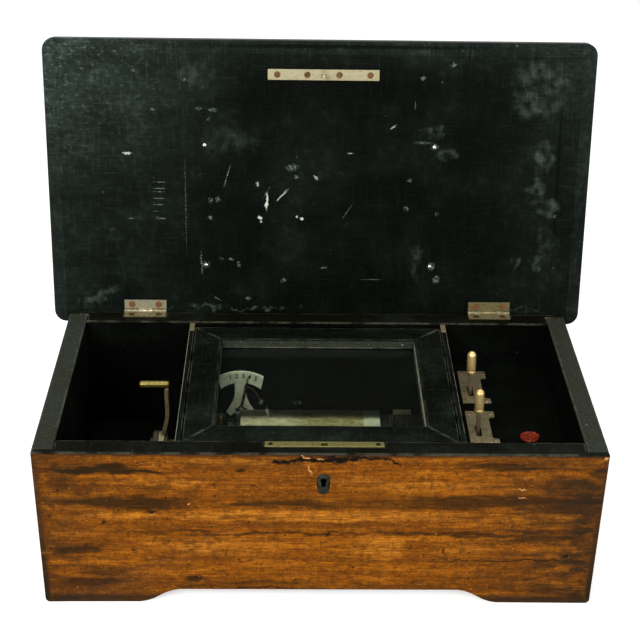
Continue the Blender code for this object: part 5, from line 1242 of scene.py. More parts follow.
# The pivot brackets: pale worn brass.
PIVOT_BRASS = WornMetal(
    "sheared_brass_pivot", "brass", ground="#b3a67e", tarnish="#756a46", spots="#46341a", tarnished=0.6,
    spotted=0.5, patch=2.0, rough=(0.35, 0.55), metallic=0.7,
)
# Cast brass darkened by oil: brown and almost without a shine.
HUB_BRASS = WornMetal(
    "cast_brass_hub_browned", "brass", ground="#403a22", tarnish="#282313", spots="#1b150a",
    tarnished=0.7, spotted=0.5, patch=4.0, rough=(0.6, 0.8), metallic=0.3,
)
# The keyhole's liner: blackened casting, its edge rubbed pale.
KEYHOLE_IRON = EbonisedPolish(
    "blackened_cast_keyhole_liner", "dark_steel", ground="#1b1a12", haze=0.5, satin=0.5, rubbed=0.7,
    arris_width=1.0,
)
# Tack heads: bright specks on the black.
TACK_STEEL = WornMetal(
    "drawn_steel_tack_head", "steel", place=LID, ground="#d2d2c6", tarnish="#6a6a5e", spots="#23231c",
    tarnished=0.6, spotted=0.5, patch=1.6, rough=(0.2, 0.4),
)
# The hinges' leaves on the case: brass dulled by oil and dust.
DIM_BRASS = WornMetal(
    "rolled_brass_case_leaf", "aged_brass", ground="#8a8262", tarnish="#4f482e", spots="#2e2412",
    tarnished=0.75, spotted=0.7, patch=3.0, rough=(0.4, 0.65), metallic=0.6,
)
# The lever's arm: forged iron under a thin yellowish patina.
ARM_IRON = WornMetal(
    "forged_iron_arm_patinated", "steel", ground="#8d835a", tarnish="#4e4630", spots="#2a2314",
    tarnished=0.7, spotted=0.6, patch=4.0, rough=(0.4, 0.6), metallic=0.45,
)
# Iron screws browned by rust, soft in their shine.
RUST_SCREW = WornMetal(
    "turned_iron_screw_rusted", "steel", ground="#6e5438", tarnish="#3c2a1a", spots="#241708",
    tarnished=0.7, spotted=0.5, patch=2.0, rough=(0.45, 0.7),
)
# Brass screws browned to copper.
HINGE_SCREW = WornMetal(
    "turned_brass_screw_browned", "steel", ground="#8a5c34", tarnish="#4e3218", spots="#2b1a0a",
    tarnished=0.6, spotted=0.5, patch=2.0, rough=(0.4, 0.6), metallic=0.7,
)
# Filed steel with a warm brown film.
LEVER_STEEL = WornMetal(
    "filed_steel_browned", "steel", ground="#9a8670", tarnish="#5f4a38", spots="#251a0e", tarnished=0.6,
    spotted=0.6, patch=4.0, rough=(0.35, 0.6), metallic=0.7,
)
# Rolled steel plate with olive stains.
PLATE_STEEL = WornMetal(
    "rolled_steel_plate_stained", "steel", ground="#a09672", tarnish="#5d4f30", spots="#2a2114",
    tarnished=0.75, spotted=0.6, patch=5.0, rough=(0.38, 0.6), metallic=0.7,
)
# Ground steel: pale grey with fine lines.
COMB_STEEL = WornMetal(
    "ground_comb_steel", "steel", ground="#a9a89c", tarnish="#7b786a", spots="#3f3a2c", tarnished=0.4,
    spotted=0.25, patch=8.0, rough=(0.25, 0.4),
)
# Blued steel gone nearly black.
DARK_STEEL = WornMetal(
    "blued_steel", "dark_steel", ground="#34362f", tarnish="#22231d", spots="#120f0a", tarnished=0.6,
    spotted=0.4, patch=5.0, rough=(0.4, 0.6),
)
# Brass of the movement: dusty yellow under the pane.
MOVEMENT_BRASS = WornMetal(
    "cast_brass_dusty", "brass", ground="#a8935a", tarnish="#6e6038", spots="#332a16", tarnished=0.6,
    spotted=0.3, patch=8.0, rough=(0.32, 0.55),
)
# The cylinder's tube: grey-olive, with a browned middle and a bare right end.
CYLINDER_BRASS = PinnedCylinderBrass("drawn_brass_pinned_tube", "brass")
# Silvered dial: nearly white and matt, yellowed in patches.
DIAL_SILVER = WornMetal(
    "silvered_brass_dial", "silvered_dial", ground="#f8f6e0", tarnish="#dcd8b6", spots="#6e6648",
    tarnished=0.6, spotted=0.45, patch=4.0, rough=(0.5, 0.65), metallic=0.0,
)
# Japanned bedplate: black, with the casting's grain showing through.
IRON = Casting("japanned_cast_iron", "japanned_iron")
# Bare pine, brown and dry.
PINE = DryBoard("aged_pine_board", "plain_wood")
# The pane: clear with a green cast.
GLASS = ClearGlass("crown_glass", "glass")
# Red-brown wax with dark folds.
WAX = SealingWax("pressed_sealing_wax", "sealing_wax")
# Figures: printed black, thin in places.
INK = PlainInk("printed_black_figure", "silvered_dial")
# The floor: white paper.
FLOOR = PaleFloor("white_studio_paper", "")


def finished(
    name: str,
    bm: bmesh.types.BMesh,
    finish: Finish,
    place: Matrix,
    body: str,
) -> bpy.types.Object:
    """Makes an object from a mesh in millimetres.

    Args:
        name: The piece's name.
        bm: The mesh, in millimetres in its own frame. It is freed.
        finish: Its finish.
        place: Where that frame lies, in metres.
        body: The body that it rides on.

    Returns:
        The piece.
    """
    bmesh.ops.recalc_face_normals(bm, faces=bm.faces)
    bmesh.ops.transform(bm, matrix=place @ Matrix.Scale(MM, 4), verts=bm.verts)
    mesh = bpy.data.meshes.new(name)
    bm.to_mesh(mesh)
    bm.free()
    mesh.shade_smooth()
    mesh.set_sharp_from_angle(angle=TURNED_EDGE)
    piece = bpy.data.objects.new(name, mesh)
    bpy.context.scene.collection.objects.link(piece)
    mesh.materials.append(finish.material())
    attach(piece, body)
    return piece


def body_of(node: str) -> str:
    """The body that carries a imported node."""
    return frame["nodes"][node]["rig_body"]


def dress(finish: Finish, *nodes: str) -> None:
    """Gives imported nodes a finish.

    Args:
        finish: The finish.
        nodes: The nodes' names.
    """
    for name in nodes:
        mesh = frame["nodes"][name].data
        mesh.materials.clear()
        mesh.materials.append(finish.material())
        log.info("%s dressed in %s", name, finish.name)


def refined(
    node: str,
    finishes: Sequence[Finish],
    arris: float,
    shortest: float = 3.0,
    choose: Callable[[Vector, Vector], int] | None = None,
    foot_corner: float = 0.0,
    outward_only: bool = False,
) -> bpy.types.Object:
    """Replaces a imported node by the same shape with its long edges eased.

    Args:
        node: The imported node.
        finishes: Its finishes.
        arris: The eased edge's width in millimetres.
        shortest: Edges shorter than this stay sharp, in millimetres.
        choose: Picks a finish's number from a face's centre and normal in the frame. None picks the first.
        foot_corner: How far the outer lower corners of a foot are worn round, in millimetres.
        outward_only: Leaves inner corners sharp, where another piece fits into them.

    Returns:
        The new piece.
    """
    bm = bmesh.new()
    bm.from_mesh(frame["nodes"][node].data)
    bmesh.ops.remove_doubles(bm, verts=bm.verts, dist=0.00001)
    bmesh.ops.dissolve_limit(bm, angle_limit=COPLANAR, verts=bm.verts, edges=bm.edges)
    if foot_corner:
        near = 0.2 * MM
        left, right = min(v.co.x for v in bm.verts), max(v.co.x for v in bm.verts)
        outer = {v for v in bm.verts if v.co.z < near and min(v.co.x - left, right - v.co.x) < near}
        worn = [e for e in bm.edges if outer.issuperset(e.verts)]
        bmesh.ops.bevel(bm, geom=worn, offset=foot_corner * MM, segments=6, profile=0.5, affect="EDGES")
    edges = [e for e in bm.edges if e.calc_length() > shortest * MM and e.calc_face_angle(0) > FORM_EDGE]
    if outward_only:
        edges = [e for e in edges if e.is_convex]
    bmesh.ops.bevel(bm, geom=edges, offset=arris * MM, segments=2, profile=0.5, affect="EDGES")
    mesh = bpy.data.meshes.new(f"{node}_eased")
    bm.to_mesh(mesh)
    bm.free()
    piece = bpy.data.objects.new(f"{node}_eased", mesh)
    bpy.context.scene.collection.objects.link(piece)
    for finish in finishes:
        mesh.materials.append(finish.material())
    if choose:
        for face in mesh.polygons:
            face.material_index = choose(face.center, face.normal)
    mesh.shade_smooth()
    mesh.set_sharp_from_angle(angle=EASED_EDGE)
    weighted = piece.modifiers.new("even_shading", "WEIGHTED_NORMAL")
    weighted.keep_sharp = True
    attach(piece, body_of(node))
    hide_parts(node)
    log.info("%s eased by %.2f mm", node, arris)
    return piece


def second_towards(direction: Vector, least: float) -> Callable[[Vector, Vector], int]:
    """Gives the second finish to the faces that look one way, and the first to the others.

    Args:
        direction: That way.
        least: The least cosine between it and a face's normal.

    Returns:
        A choice for refined().
    """
    return lambda centre, normal: int(normal.dot(direction) > least)


def points(node: str, place: Matrix) -> list[Vector]:
    """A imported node's corners in a sub-assembly's frame.

    Args:
        node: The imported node.
        place: The sub-assembly's frame.

    Returns:
        Its corners in millimetres.
    """
    back = place.inverted()
    return [back @ v.co / MM for v in frame["nodes"][node].data.vertices]


def gathered(heads: Sequence[bmesh.types.BMesh]) -> bmesh.types.BMesh:
    """Puts loose meshes together in one.

    Args:
        heads: The meshes, which are freed.

    Returns:
        The whole.
    """
    whole = bmesh.new()
    for bm in heads:
        loose = bpy.data.meshes.new("loose")
        bmesh.ops.recalc_face_normals(bm, faces=bm.faces)
        bm.to_mesh(loose)
        bm.free()
        whole.from_mesh(loose)
        bpy.data.meshes.remove(loose)
    return whole


def lathed(profile: Sequence[tuple[float, float]], steps: int) -> bmesh.types.BMesh:
    """Turns a profile about Z.

    Args:
        profile: Radius and height pairs, in millimetres. A closed loop gives a ring.
        steps: Facets round the axis.

    Returns:
        The mesh, in millimetres.
    """
    bm = bmesh.new()
    verts = [bm.verts.new((radius, 0, height)) for radius, height in profile]
    edges = [bm.edges.new(pair) for pair in zip(verts, verts[1:])]
    bmesh.ops.spin(
        bm, geom=verts + edges, cent=(0, 0, 0), axis=(0, 0, 1), angle=math.tau, steps=steps, use_merge=True
    )
    bmesh.ops.remove_doubles(bm, verts=bm.verts, dist=0.001)
    return bm


def rounded(profile: Sequence[tuple[float, float, float]], steps: int = 3) -> list[tuple[float, float]]:
    """Rounds the corners of a turned profile.

    Args:
        profile: Radius, height and corner radius, in millimetres.
        steps: Points added at each corner.

    Returns:
        Radius and height pairs.
    """
    points = []
    last = len(profile) - 1
    for i, (radius, height, corner) in enumerate(profile):
        here = Vector((radius, height))
        if corner <= 0 or i in (0, last):
            points.append((radius, height))
            continue
        before = Vector(profile[i - 1][:2]) - here
        after = Vector(profile[i + 1][:2]) - here
        cut = min(corner, before.length / 2, after.length / 2)
        start, end = here + before.normalized() * cut, here + after.normalized() * cut
        for k in range(steps + 1):
            t = k / steps
            point = start * (1 - t) ** 2 + here * 2 * t * (1 - t) + end * t * t
            points.append((point.x, point.y))
    return points


@dataclass
class Screw:
    """A slotted countersunk screw's head, seated in its plate."""

    radius: float = 2.6
    proud: float = 0.25
    slot: float = 0.6
    dome: float = 0.25
    crown: float = 0.7
    arc_steps: int = 12

    def mesh(self, angle: float) -> bmesh.types.BMesh:
        """Builds the head with its slot.

        Args:
            angle: The slot's direction in degrees.

        Returns:
            The head's mesh in millimetres, its seat at z = 0 and its top towards +Z.
        """
        bm = bmesh.new()
        deep = self.proud * 0.2
        bmesh.ops.create_cone(
            bm, cap_ends=True, segments=24, radius1=self.radius, radius2=self.radius, depth=deep,
            matrix=Matrix.Translation((0, 0, deep / 2)),
        )
        first = math.asin(self.slot / 2 / self.radius)
        sweep = math.pi - 2 * first
        turns = [first + sweep * i / self.arc_steps for i in range(self.arc_steps + 1)]
        for side in (1, -1):
            rim = [(self.radius * math.cos(turn), side * self.radius * math.sin(turn)) for turn in turns]
            top = [(x * self.crown, max(abs(y) * self.crown, self.slot / 2) * side) for x, y in rim]
            low = [bm.verts.new((x, y, deep)) for x, y in rim]
            high = [bm.verts.new((x, y, self.proud)) for x, y in rim]
            inner = [bm.verts.new((x, y, self.proud + self.dome)) for x, y in top]
            for ring, above in ((low, high), (high, inner)):
                for i in range(len(ring)):
                    k = (i + 1) % len(ring)
                    bm.faces.new((ring[i], ring[k], above[k], above[i]))
            bm.faces.new(inner)
            bm.faces.new(low)
        spin = Matrix.Rotation(math.radians(angle), 3, "Z")
        bmesh.ops.rotate(bm, cent=(0, 0, 0), matrix=spin, verts=bm.verts)
        return bm


def screws(
    name: str,
    finish: Finish,
    body: str,
    place: Matrix,
    spots: Sequence[tuple[float, float, float, float]],
    kind: Screw,
    facing: Matrix | None = None,
) -> bpy.types.Object:
    """A group of like screws in one piece.

    Args:
        name: The piece's name.
        finish: Its finish.
        body: The body that carries it.
        place: The sub-assembly's frame.
        spots: X, Y and Z of each seat in millimetres, and the slot's angle in degrees.
        kind: The screw.
        facing: Turns the heads from +Z to where they face.

    Returns:
        The piece.
    """
    heads = []
    for x, y, z, angle in spots:
        head = kind.mesh(angle)
        move = Matrix.Translation((x, y, z)) @ (facing or Matrix.Identity(4))
        bmesh.ops.transform(head, matrix=move, verts=head.verts)
        heads.append(head)
    return finished(name, gathered(heads), finish, place, body)


class Side(Enum):
    """A side of the case, with the level direction from it to the case's middle."""

    FRONT = (0, 1, 0)
    BACK = (0, -1, 0)
    LEFT = (1, 0, 0)
    RIGHT = (-1, 0, 0)

    @property
    def word(self) -> str:
        """The side as the nodes' names have it."""
        return self.name.lower()

    @property
    def inward(self) -> Vector:
        """The direction to the case's middle."""
        return Vector(self.value)


@dataclass
class Case:
    """The case's boards, partitions, deck and bottom."""

    arris: float = 1.1
    deck_arris: float = 0.4
    thin_arris: float = 0.5
    shortest: float = 4.0
    rim_band: float = 1.3
    skin: float = 1.6
    keyhole: float = 7.0
    keyhole_height: float = 115.0
    foot_corner: float = 4.2

    def build(self) -> None:
        """Builds every board."""
        self.long_board(Side.FRONT, FRONT_WOOD)
        self.long_board(Side.BACK, BACK_WOOD)
        self.end_board(Side.LEFT)
        self.end_board(Side.RIGHT)
        # The left partition's outer arris: worn, with a painted highlight.
        self.partition(Side.LEFT, SIGHT_WORN_AND_HIGHLIT)
        self.partition(Side.RIGHT, SIGHT_EDGE)
        refined("control_deck", [INNER_BLACK], self.deck_arris, self.shortest)
        low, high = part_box("bottom_board")
        middle = (low.z + high.z) / 2
        finishes = [PINE, INNER_BLACK]
        refined(
            "bottom_board", finishes, self.thin_arris, self.shortest,
            lambda centre, normal: int(centre.z > middle),
        )

    def long_board(self, side: Side, wood: Finish) -> None:
        """The front or back board: polished outside, black on its rim and inside.

        Args:
            side: Its side of the case.
            wood: The outer finish.
        """
        node = f"case_{side.word}"
        low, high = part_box(node)
        inward = side.inward
        outer = low if side is Side.FRONT else high
        top = high.z - self.rim_band * MM
        reach, height = self.keyhole * MM, self.keyhole_height * MM

        def choose(centre: Vector, normal: Vector) -> int:
            """Picks the polish, the rim's black or the inside's black, which also lines the keyhole.

            Args:
                centre: A face's centre.
                normal: Its normal.

            Returns:
                The finish's number.
            """
            if centre.z > top:
                return 1
            if abs(centre.x) < reach and abs(centre.z - height) < 1.5 * reach:
                return 2
            inside = (centre.y - outer.y) * inward.y > self.skin * MM
            return 2 if inside and abs(normal.x) < 0.7 and normal.z > -0.3 else 0

        refined(node, [wood, RIM_BLACK, INNER_BLACK], self.arris, self.shortest, choose, self.foot_corner)

    def end_board(self, side: Side) -> None:
        """An end board: its rim is rubbed matt.

        Args:
            side: Its side of the case.
        """
        node = f"case_{side.word}"
        low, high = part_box(node)
        inner = high.x if side is Side.LEFT else low.x
        top = high.z - self.rim_band * MM

        def choose(centre: Vector, normal: Vector) -> int:
            """Picks the polish, the matt rim or the inside's black.

            Args:
                centre: A face's centre.
                normal: Its normal.

            Returns:
                The finish's number.
            """
            if centre.z > top:
                return 1
            return 2 if abs(centre.x - inner) < self.skin * MM else 0

        refined(node, [SIDE_WOOD, RIM_MATT, INNER_BLACK], self.arris, self.shortest, choose)

    def partition(self, side: Side, worn: Finish) -> None:
        """A thin partition, whose upper arris towards its end board is worn, and on the left partition also
        carries a painted highlight.

        Args:
            side: The end of the case that it stands at.
            worn: The arris's finish: wear, and on the left partition a painted highlight.
        """
        inward = side.inward

        def choose(centre: Vector, normal: Vector) -> int:
            """Picks the black or the worn finish.

            Args:
                centre: A face's centre.
                normal: Its normal.

            Returns:
                The finish's number.
            """
            return int(normal.dot(inward) < -0.3 and normal.z > 0.3)

        refined(f"partition_{side.word}", [PARTITION_BLACK, worn], self.thin_arris, self.shortest, choose)


@dataclass
class OuterLid:
    """The lid's panel and mouldings, the strike plate, and the tacks in its underside."""

    tack_x: float = 97.0
    tack_rows: tuple[float, float] = (42.0, 146.5)
    tack_radius: float = 1.7
    strike_screws: tuple[float, ...] = (-36.0, -11.0, 15.6, 41.4)
    screw_angles: tuple[float, ...] = (30, 75, 10, 120)
    plate_depth: float = 1.6
    arris: float = 0.15
    shortest: float = 6.0
    bead: float = 2.4
    bead_height: float = 0.06
    bead_root: float = 0.02
    bead_start: float = 1.0
    bead_end: float = 9.0

    def build(self) -> None:
        """Builds the lid's boards and its fittings."""
        up = LID.to_3x3() @ Vector((0, 0, 1))
        boards = {"lid_panel": LID_BLACK}
        boards |= {f"lid_moulding_{side.word}": LID_EDGE for side in (Side.FRONT, Side.LEFT, Side.RIGHT)}
        for name, finish in boards.items():
            finishes = [finish, LID_TOP]
            refined(name, finishes, self.arris, self.shortest, second_towards(up, 0.3))
        self.paint_beads()
        refined("strike_plate", [LID_BRASS], arris=0.25, shortest=2.5, outward_only=True)
        self.tacks()
        self.plate_screws()

    def paint_beads(self) -> None:
        """The black film that bridges the seams between the panel and its mouldings."""
        panel = points("lid_panel", LID)
        left, right = min(v.x for v in panel), max(v.x for v in panel)
        far, near = min(v.y for v in panel), max(v.y for v in panel) - self.bead_start
        under = min(v.z for v in panel)
        half = self.bead / 2
        out = self.bead_end
        runs = (
            ((left, near), (left, far)), ((right, near), (right, far)), ((left, far), (right, far)),
            ((left, far), (left - out, far - out)), ((right, far), (right + out, far - out)),
        )
        bm = bmesh.new()
        for start, end in runs:
            a, b = Vector((*start, under)), Vector((*end, under))
            along = (b - a).normalized()
            over = Vector((-along.y, along.x, 0)) * half
            corners = [a - over, a + over, b + over, b - over]
            low = [bm.verts.new(c + Vector((0, 0, self.bead_root))) for c in corners]
            high = [bm.verts.new(c - Vector((0, 0, self.bead_height))) for c in corners]
            bm.faces.new(low)
            bm.faces.new(high[::-1])
            for i in range(4):
                k = (i + 1) % 4
                bm.faces.new((low[i], high[i], high[k], low[k]))
        finished("lid_seam_paint", bm, LID_BLACK, LID, "outer_lid")

    def tacks(self) -> None:
        """Four domed tacks, driven into the underside."""
        under = min(v.z for v in points("lid_panel", LID))
        r, root, steps = self.tack_radius, 0.1, 6
        turns = [math.pi / 2 * i / steps for i in range(steps + 1)]
        dome = [(r * math.cos(turn), r * 0.55 * math.sin(turn)) for turn in turns]
        profile = [(0, -root), (r, -root), *dome[:-1], (0, dome[-1][1])]
        heads = []
        for x in (-self.tack_x, self.tack_x):
            for v in self.tack_rows:
                head = lathed(profile, 20)
                move = Matrix.Translation((x, -v, under)) @ FACING_DOWN
                bmesh.ops.transform(head, matrix=move, verts=head.verts)
                heads.append(head)
        finished("lid_tacks", gathered(heads), TACK_STEEL, LID, "outer_lid")

    def plate_screws(self) -> None:
        """Four rusted screws that hold the strike plate."""
        plate = points("strike_plate", LID)
        upper = max(v.z for v in plate)
        face = [v for v in plate if v.z > upper - self.plate_depth]
        middle = (min(v.y for v in face) + max(v.y for v in face)) / 2
        surface = min(v.z for v in face)
        spots = [(x, middle, surface, a) for x, a in zip(self.strike_screws, self.screw_angles)]
        kind = Screw(radius=2.7, proud=0.06, slot=0.6, dome=0.05)
        screws("strike_plate_screws", RUST_SCREW, "outer_lid", LID, spots, kind, FACING_DOWN)


@dataclass
class Hinges:
    """Two butt hinges with their screws and pins."""

    screw_reach: float = 11.6
    screw_back: float = 5.9
    lid_slots: tuple[float, float] = (-64.4, 144.4)
    case_slots: tuple[float, float] = (-43.0, 73.0)
    knuckle: float = 5.0
    leaf_strip: float = 3.0

    def build(self) -> None:
        """Builds both hinges."""
        # The left lid leaf gets a lighter and the right a darker copy of one brass: painted light from the
        # left.
        for side, brass in ((Side.LEFT, LIT_HINGE_BRASS), (Side.RIGHT, SHADED_HINGE_BRASS)):
            case_leaf, lid_leaf = f"hinge_leaf_case_{side.word}", f"hinge_leaf_lid_{side.word}"
            dress(DIM_BRASS, case_leaf, f"hinge_pin_{side.word}")
            dress(brass, lid_leaf)
            low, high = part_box(lid_leaf)
            middle = (low.x + high.x) / 2 / MM
            places = (middle - self.screw_reach, middle + self.screw_reach)

            under = min(v.z for v in points(lid_leaf, LID) if v.y < -self.knuckle)
            spots = [(x, -self.screw_back, under, slot) for x, slot in zip(places, self.lid_slots)]
            kind = Screw(radius=2.9, proud=0.05, slot=0.6, dome=0.03)
            name = f"lid_hinge_screws_{side.word}"
            screws(name, HINGE_SCREW, "outer_lid", LID, spots, kind, FACING_DOWN)

            leaf = points(case_leaf, CASE)
            edge = min(v.y for v in leaf)
            top = max(v.z for v in leaf if v.y < edge + self.leaf_strip)
            axis = CASE.inverted() @ Vector(joint("outer_lid_hinge")["pos_m"]) / MM
            spots = [(x, axis.y - self.screw_back, top, slot) for x, slot in zip(places, self.case_slots)]
            kind = Screw(radius=2.7, proud=0.04, slot=0.6, dome=0.02)
            screws(f"case_hinge_screws_{side.word}", RUST_SCREW, "root", CASE, spots, kind)


@dataclass
class InnerLid:
    """The glazed frame and its pivot brackets."""

    rail_arris: float = 0.7
    bracket_arris: float = 0.2

    def build(self) -> None:
        """Builds the rails, the pane and the brackets."""
        for side in Side:
            # The right rail's inner face gets a painted highlight as well as wear.
            self.rail(side, SIGHT_WORN_AND_HIGHLIT if side is Side.RIGHT else SIGHT_EDGE)
        dress(GLASS, "glass_pane")
        for side in (Side.LEFT, Side.RIGHT):
            refined(f"pivot_bracket_{side.word}", [PIVOT_BRASS], arris=self.bracket_arris, shortest=2.0)

    def rail(self, side: Side, bead: Finish) -> None:
        """A rail, whose inner face has another finish.

        Args:
            side: Its side of the frame.
            bead: The inner face's finish.
        """
        inner = second_towards(side.inward, 0.9)
        name = f"glass_frame_{side.word}"
        refined(name, [FRAME_BLACK, bead], self.rail_arris, shortest=3.0, choose=inner)


@dataclass
class LockSet:
    """The lock in the rim, its bolt, and the keyhole's liner."""

    screw_reach: float = 40.5

    def build(self) -> None:
        """Dresses the lock and adds its two screws."""
        refined("lock_case", [DULL_BRASS], arris=0.25, shortest=3.0, outward_only=True)
        refined("keyhole_escutcheon", [KEYHOLE_IRON], arris=0.4, shortest=0.4)
        dress(LEVER_STEEL, "lock_bolt")
        low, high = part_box("lock_case")
        middle = CASE.inverted() @ ((low + high) / 2) / MM
        spots = [(middle.x + s * self.screw_reach, middle.y, high.z / MM, 25 * s) for s in (-1, 1)]
        kind = Screw(radius=1.9, proud=0.03, slot=0.5, dome=0.03)
        screws("lock_screws", DARK_STEEL, "root", CASE, spots, kind)


@dataclass
class WindingLever:
    """The winding lever: hub, arm and turned grip."""

    facets: int = 40

    def build(self) -> None:
        """Builds the grip anew and dresses the rest."""
        dress(HUB_BRASS, "lever_hub")
        refined("lever_arm", [ARM_IRON], arris=0.5, shortest=2.0)
        dress(HUB_BRASS, "barrel_arbor")
        low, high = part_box("lever_grip")
        radius = (high.y - low.y) / 2 / MM
        half = (high.x - low.x) / 2 / MM
        profile = rounded([
            (0, -half, 0), (radius * 0.82, -half, 0.5), (radius * 0.97, -half + 1.4, 0.5),
            (radius * 0.97, half - 1.4, 0.5), (radius * 0.82, half, 0.5), (0, half, 0),
        ])
        bm = lathed(profile, self.facets)
        middle = (low + high) / 2
        place = Matrix.Translation(middle) @ ALONG_X
        piece = finished("turned_lever_grip", bm, GRIP_BRASS, place, body_of("lever_grip"))
        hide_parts("lever_grip")


@dataclass
class Movement:
    """The mechanism under the glass.

    The real cylinder's pins are finer and closer. These are as thick and as few as the render needs.
    """

    pins: int = 900
    pin_height: float = 0.4
    pin_width: float = 0.5
    pin_taper: float = 0.6
    pin_root: float = 0.15
    track: float = 2.2
    tune_shifts: tuple[float, ...] = (0.0, 0.3, 0.6, 0.9, 1.2, 1.5)
    tube_margin: float = 3.0
    tube_hole: float = 0.16
    seed: int = 7
    comb_screws: int = 5
    comb_margin: float = 8.0
    comb_heel: float = 4.6

    def build(self) -> None:
        """Dresses the mechanism and adds its pins and screws."""
        dress(IRON, "bedplate", "comb_base")
        dress(MOVEMENT_BRASS, "barrel_bridge_left", "barrel_bridge_right", "spring_barrel", "great_wheel")
        dress(HUB_BRASS, "cylinder_wheel", "governor_drive_wheel", "governor_frame")
        dress(DARK_STEEL, "cylinder_bearing_left", "cylinder_bearing_right", "change_wheel", "dial_bracket")
        dress(COMB_STEEL, "comb", "cylinder_arbor", "governor_pinion_arbor", "worm_and_fan")
        self.cylinder()
        self.heel_screws()

    def cylinder(self) -> None:
        """The pinned tube, turned smooth, with its pins in tracks round it."""
        low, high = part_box("cylinder")
        radius = (high.z - low.z) / 2 / MM
        left, right = low.x / MM, high.x / MM
        axis = Vector((0, (low.y + high.y) / 2, (low.z + high.z) / 2))
        hole = radius * self.tube_hole
        profile = rounded([
            (hole, left, 0), (radius, left, 0.5), (radius, right, 0.5), (hole, right, 0), (hole, left, 0),
        ])
        place = Matrix.Translation(axis) @ ALONG_X
        tube = finished("turned_cylinder", lathed(profile, 96), CYLINDER_BRASS, place, body_of("cylinder"))
        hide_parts("cylinder")
        draw = random.Random(self.seed)
        bm = bmesh.new()
        first = left + self.tube_margin
        count = int((right - left - 2 * self.tube_margin) / self.track)
        half = self.pin_width / 2
        height = self.pin_height + self.pin_root
        lift = Matrix.Translation((0, 0, height / 2))
        for _ in range(self.pins):
            x = first + draw.randrange(count) * self.track + draw.choice(self.tune_shifts)
            spin = Matrix.Rotation(draw.uniform(0, math.tau), 4, "X")
            stand = spin @ Matrix.Translation((x, 0, radius - self.pin_root))
            bmesh.ops.create_cone(
                bm, cap_ends=True, segments=4, radius1=half, radius2=half * self.pin_taper, depth=height,
                matrix=stand @ lift,
            )
        finished("cylinder_pins", bm, COMB_STEEL, Matrix.Translation(axis), body_of("cylinder"))

    def heel_screws(self) -> None:
        """Screws through the comb's heel."""
        low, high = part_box("comb")
        near = CASE.inverted() @ low / MM
        first, last = low.x / MM + self.comb_margin, high.x / MM - self.comb_margin
        spots = []
        for i in range(self.comb_screws):
            x = first + (last - first) * i / (self.comb_screws - 1)
            spots.append((x, near.y + self.comb_heel, high.z / MM, 37 * i))
        kind = Screw(radius=3.2, proud=1.2, slot=0.8, dome=0.4)
        screws("comb_screws", DARK_STEEL, "root", CASE, spots, kind)


@dataclass
class TuneIndicator:
    """The tune dial with its figures, and the pointer."""

    figures: tuple[str, ...] = ("1", "2", "3", "4", "5")
    first_angle: float = -16.0
    step: float = 9.8
    radius: float = 31.6
    size: float = 6.2
    face_back: float = 1.0
    screw_reach: float = 3.9
    screw_drop: float = 1.4

    def build(self) -> None:
        """Dresses the dial and the pointer and adds the figures and screws."""
        refined("tune_dial", [DIAL_SILVER], arris=0.2, shortest=1.0)
        dress(BRASS, "tune_pointer")
        pivot = Vector(joint("tune_pointer_turn")["pos_m"])
        _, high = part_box("tune_dial")
        face = high.y - self.face_back * MM
        self.print_figures(pivot, face)
        self.dial_screws(pivot, face)

    def print_figures(self, pivot: Vector, face: float) -> None:
        """Prints plain numbers round the dial.

        Args:
            pivot: The pointer's axis.
            face: The dial's front face along Y.
        """
        for i, text in enumerate(self.figures):
            turn = math.radians(self.first_angle + i * self.step)
            font = bpy.data.curves.new(f"figure_{text}", "FONT")
            font.body = text
            font.size = self.size * MM
            font.align_x = "CENTER"
            font.align_y = "CENTER"
            font.extrude = 0.03 * MM
            font.offset = 0.1 * MM
            piece = bpy.data.objects.new(f"dial_figure_{text}", font)
            piece.data.materials.append(INK.material())
            where = (math.sin(turn) * self.radius * MM, 0, math.cos(turn) * self.radius * MM)
            place = Vector((pivot.x, face - 0.05 * MM, pivot.z)) + Vector(where)
            piece.matrix_world = Matrix.Translation(place) @ Matrix.Rotation(turn, 4, "Y") @ FACING_FRONT
            bpy.context.scene.collection.objects.link(piece)
            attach(piece, body_of("tune_dial"))

    def dial_screws(self, pivot: Vector, face: float) -> None:
        """Two dark screws that hold the dial to its bracket.

        Args:
            pivot: The pointer's axis.
            face: The dial's front face along Y.
        """
        middle = CASE.inverted() @ Vector((pivot.x, face, pivot.z)) / MM
        reach, drop = self.screw_reach, self.screw_drop
        spots = [(middle.x + dx, middle.y, middle.z - drop, 20 * dx) for dx in (-reach, reach)]
        kind = Screw(radius=1.35, proud=0.3, slot=0.35, dome=0.1)
        screws("dial_screws", DARK_STEEL, "root", CASE, spots, kind, FACING_FRONT)


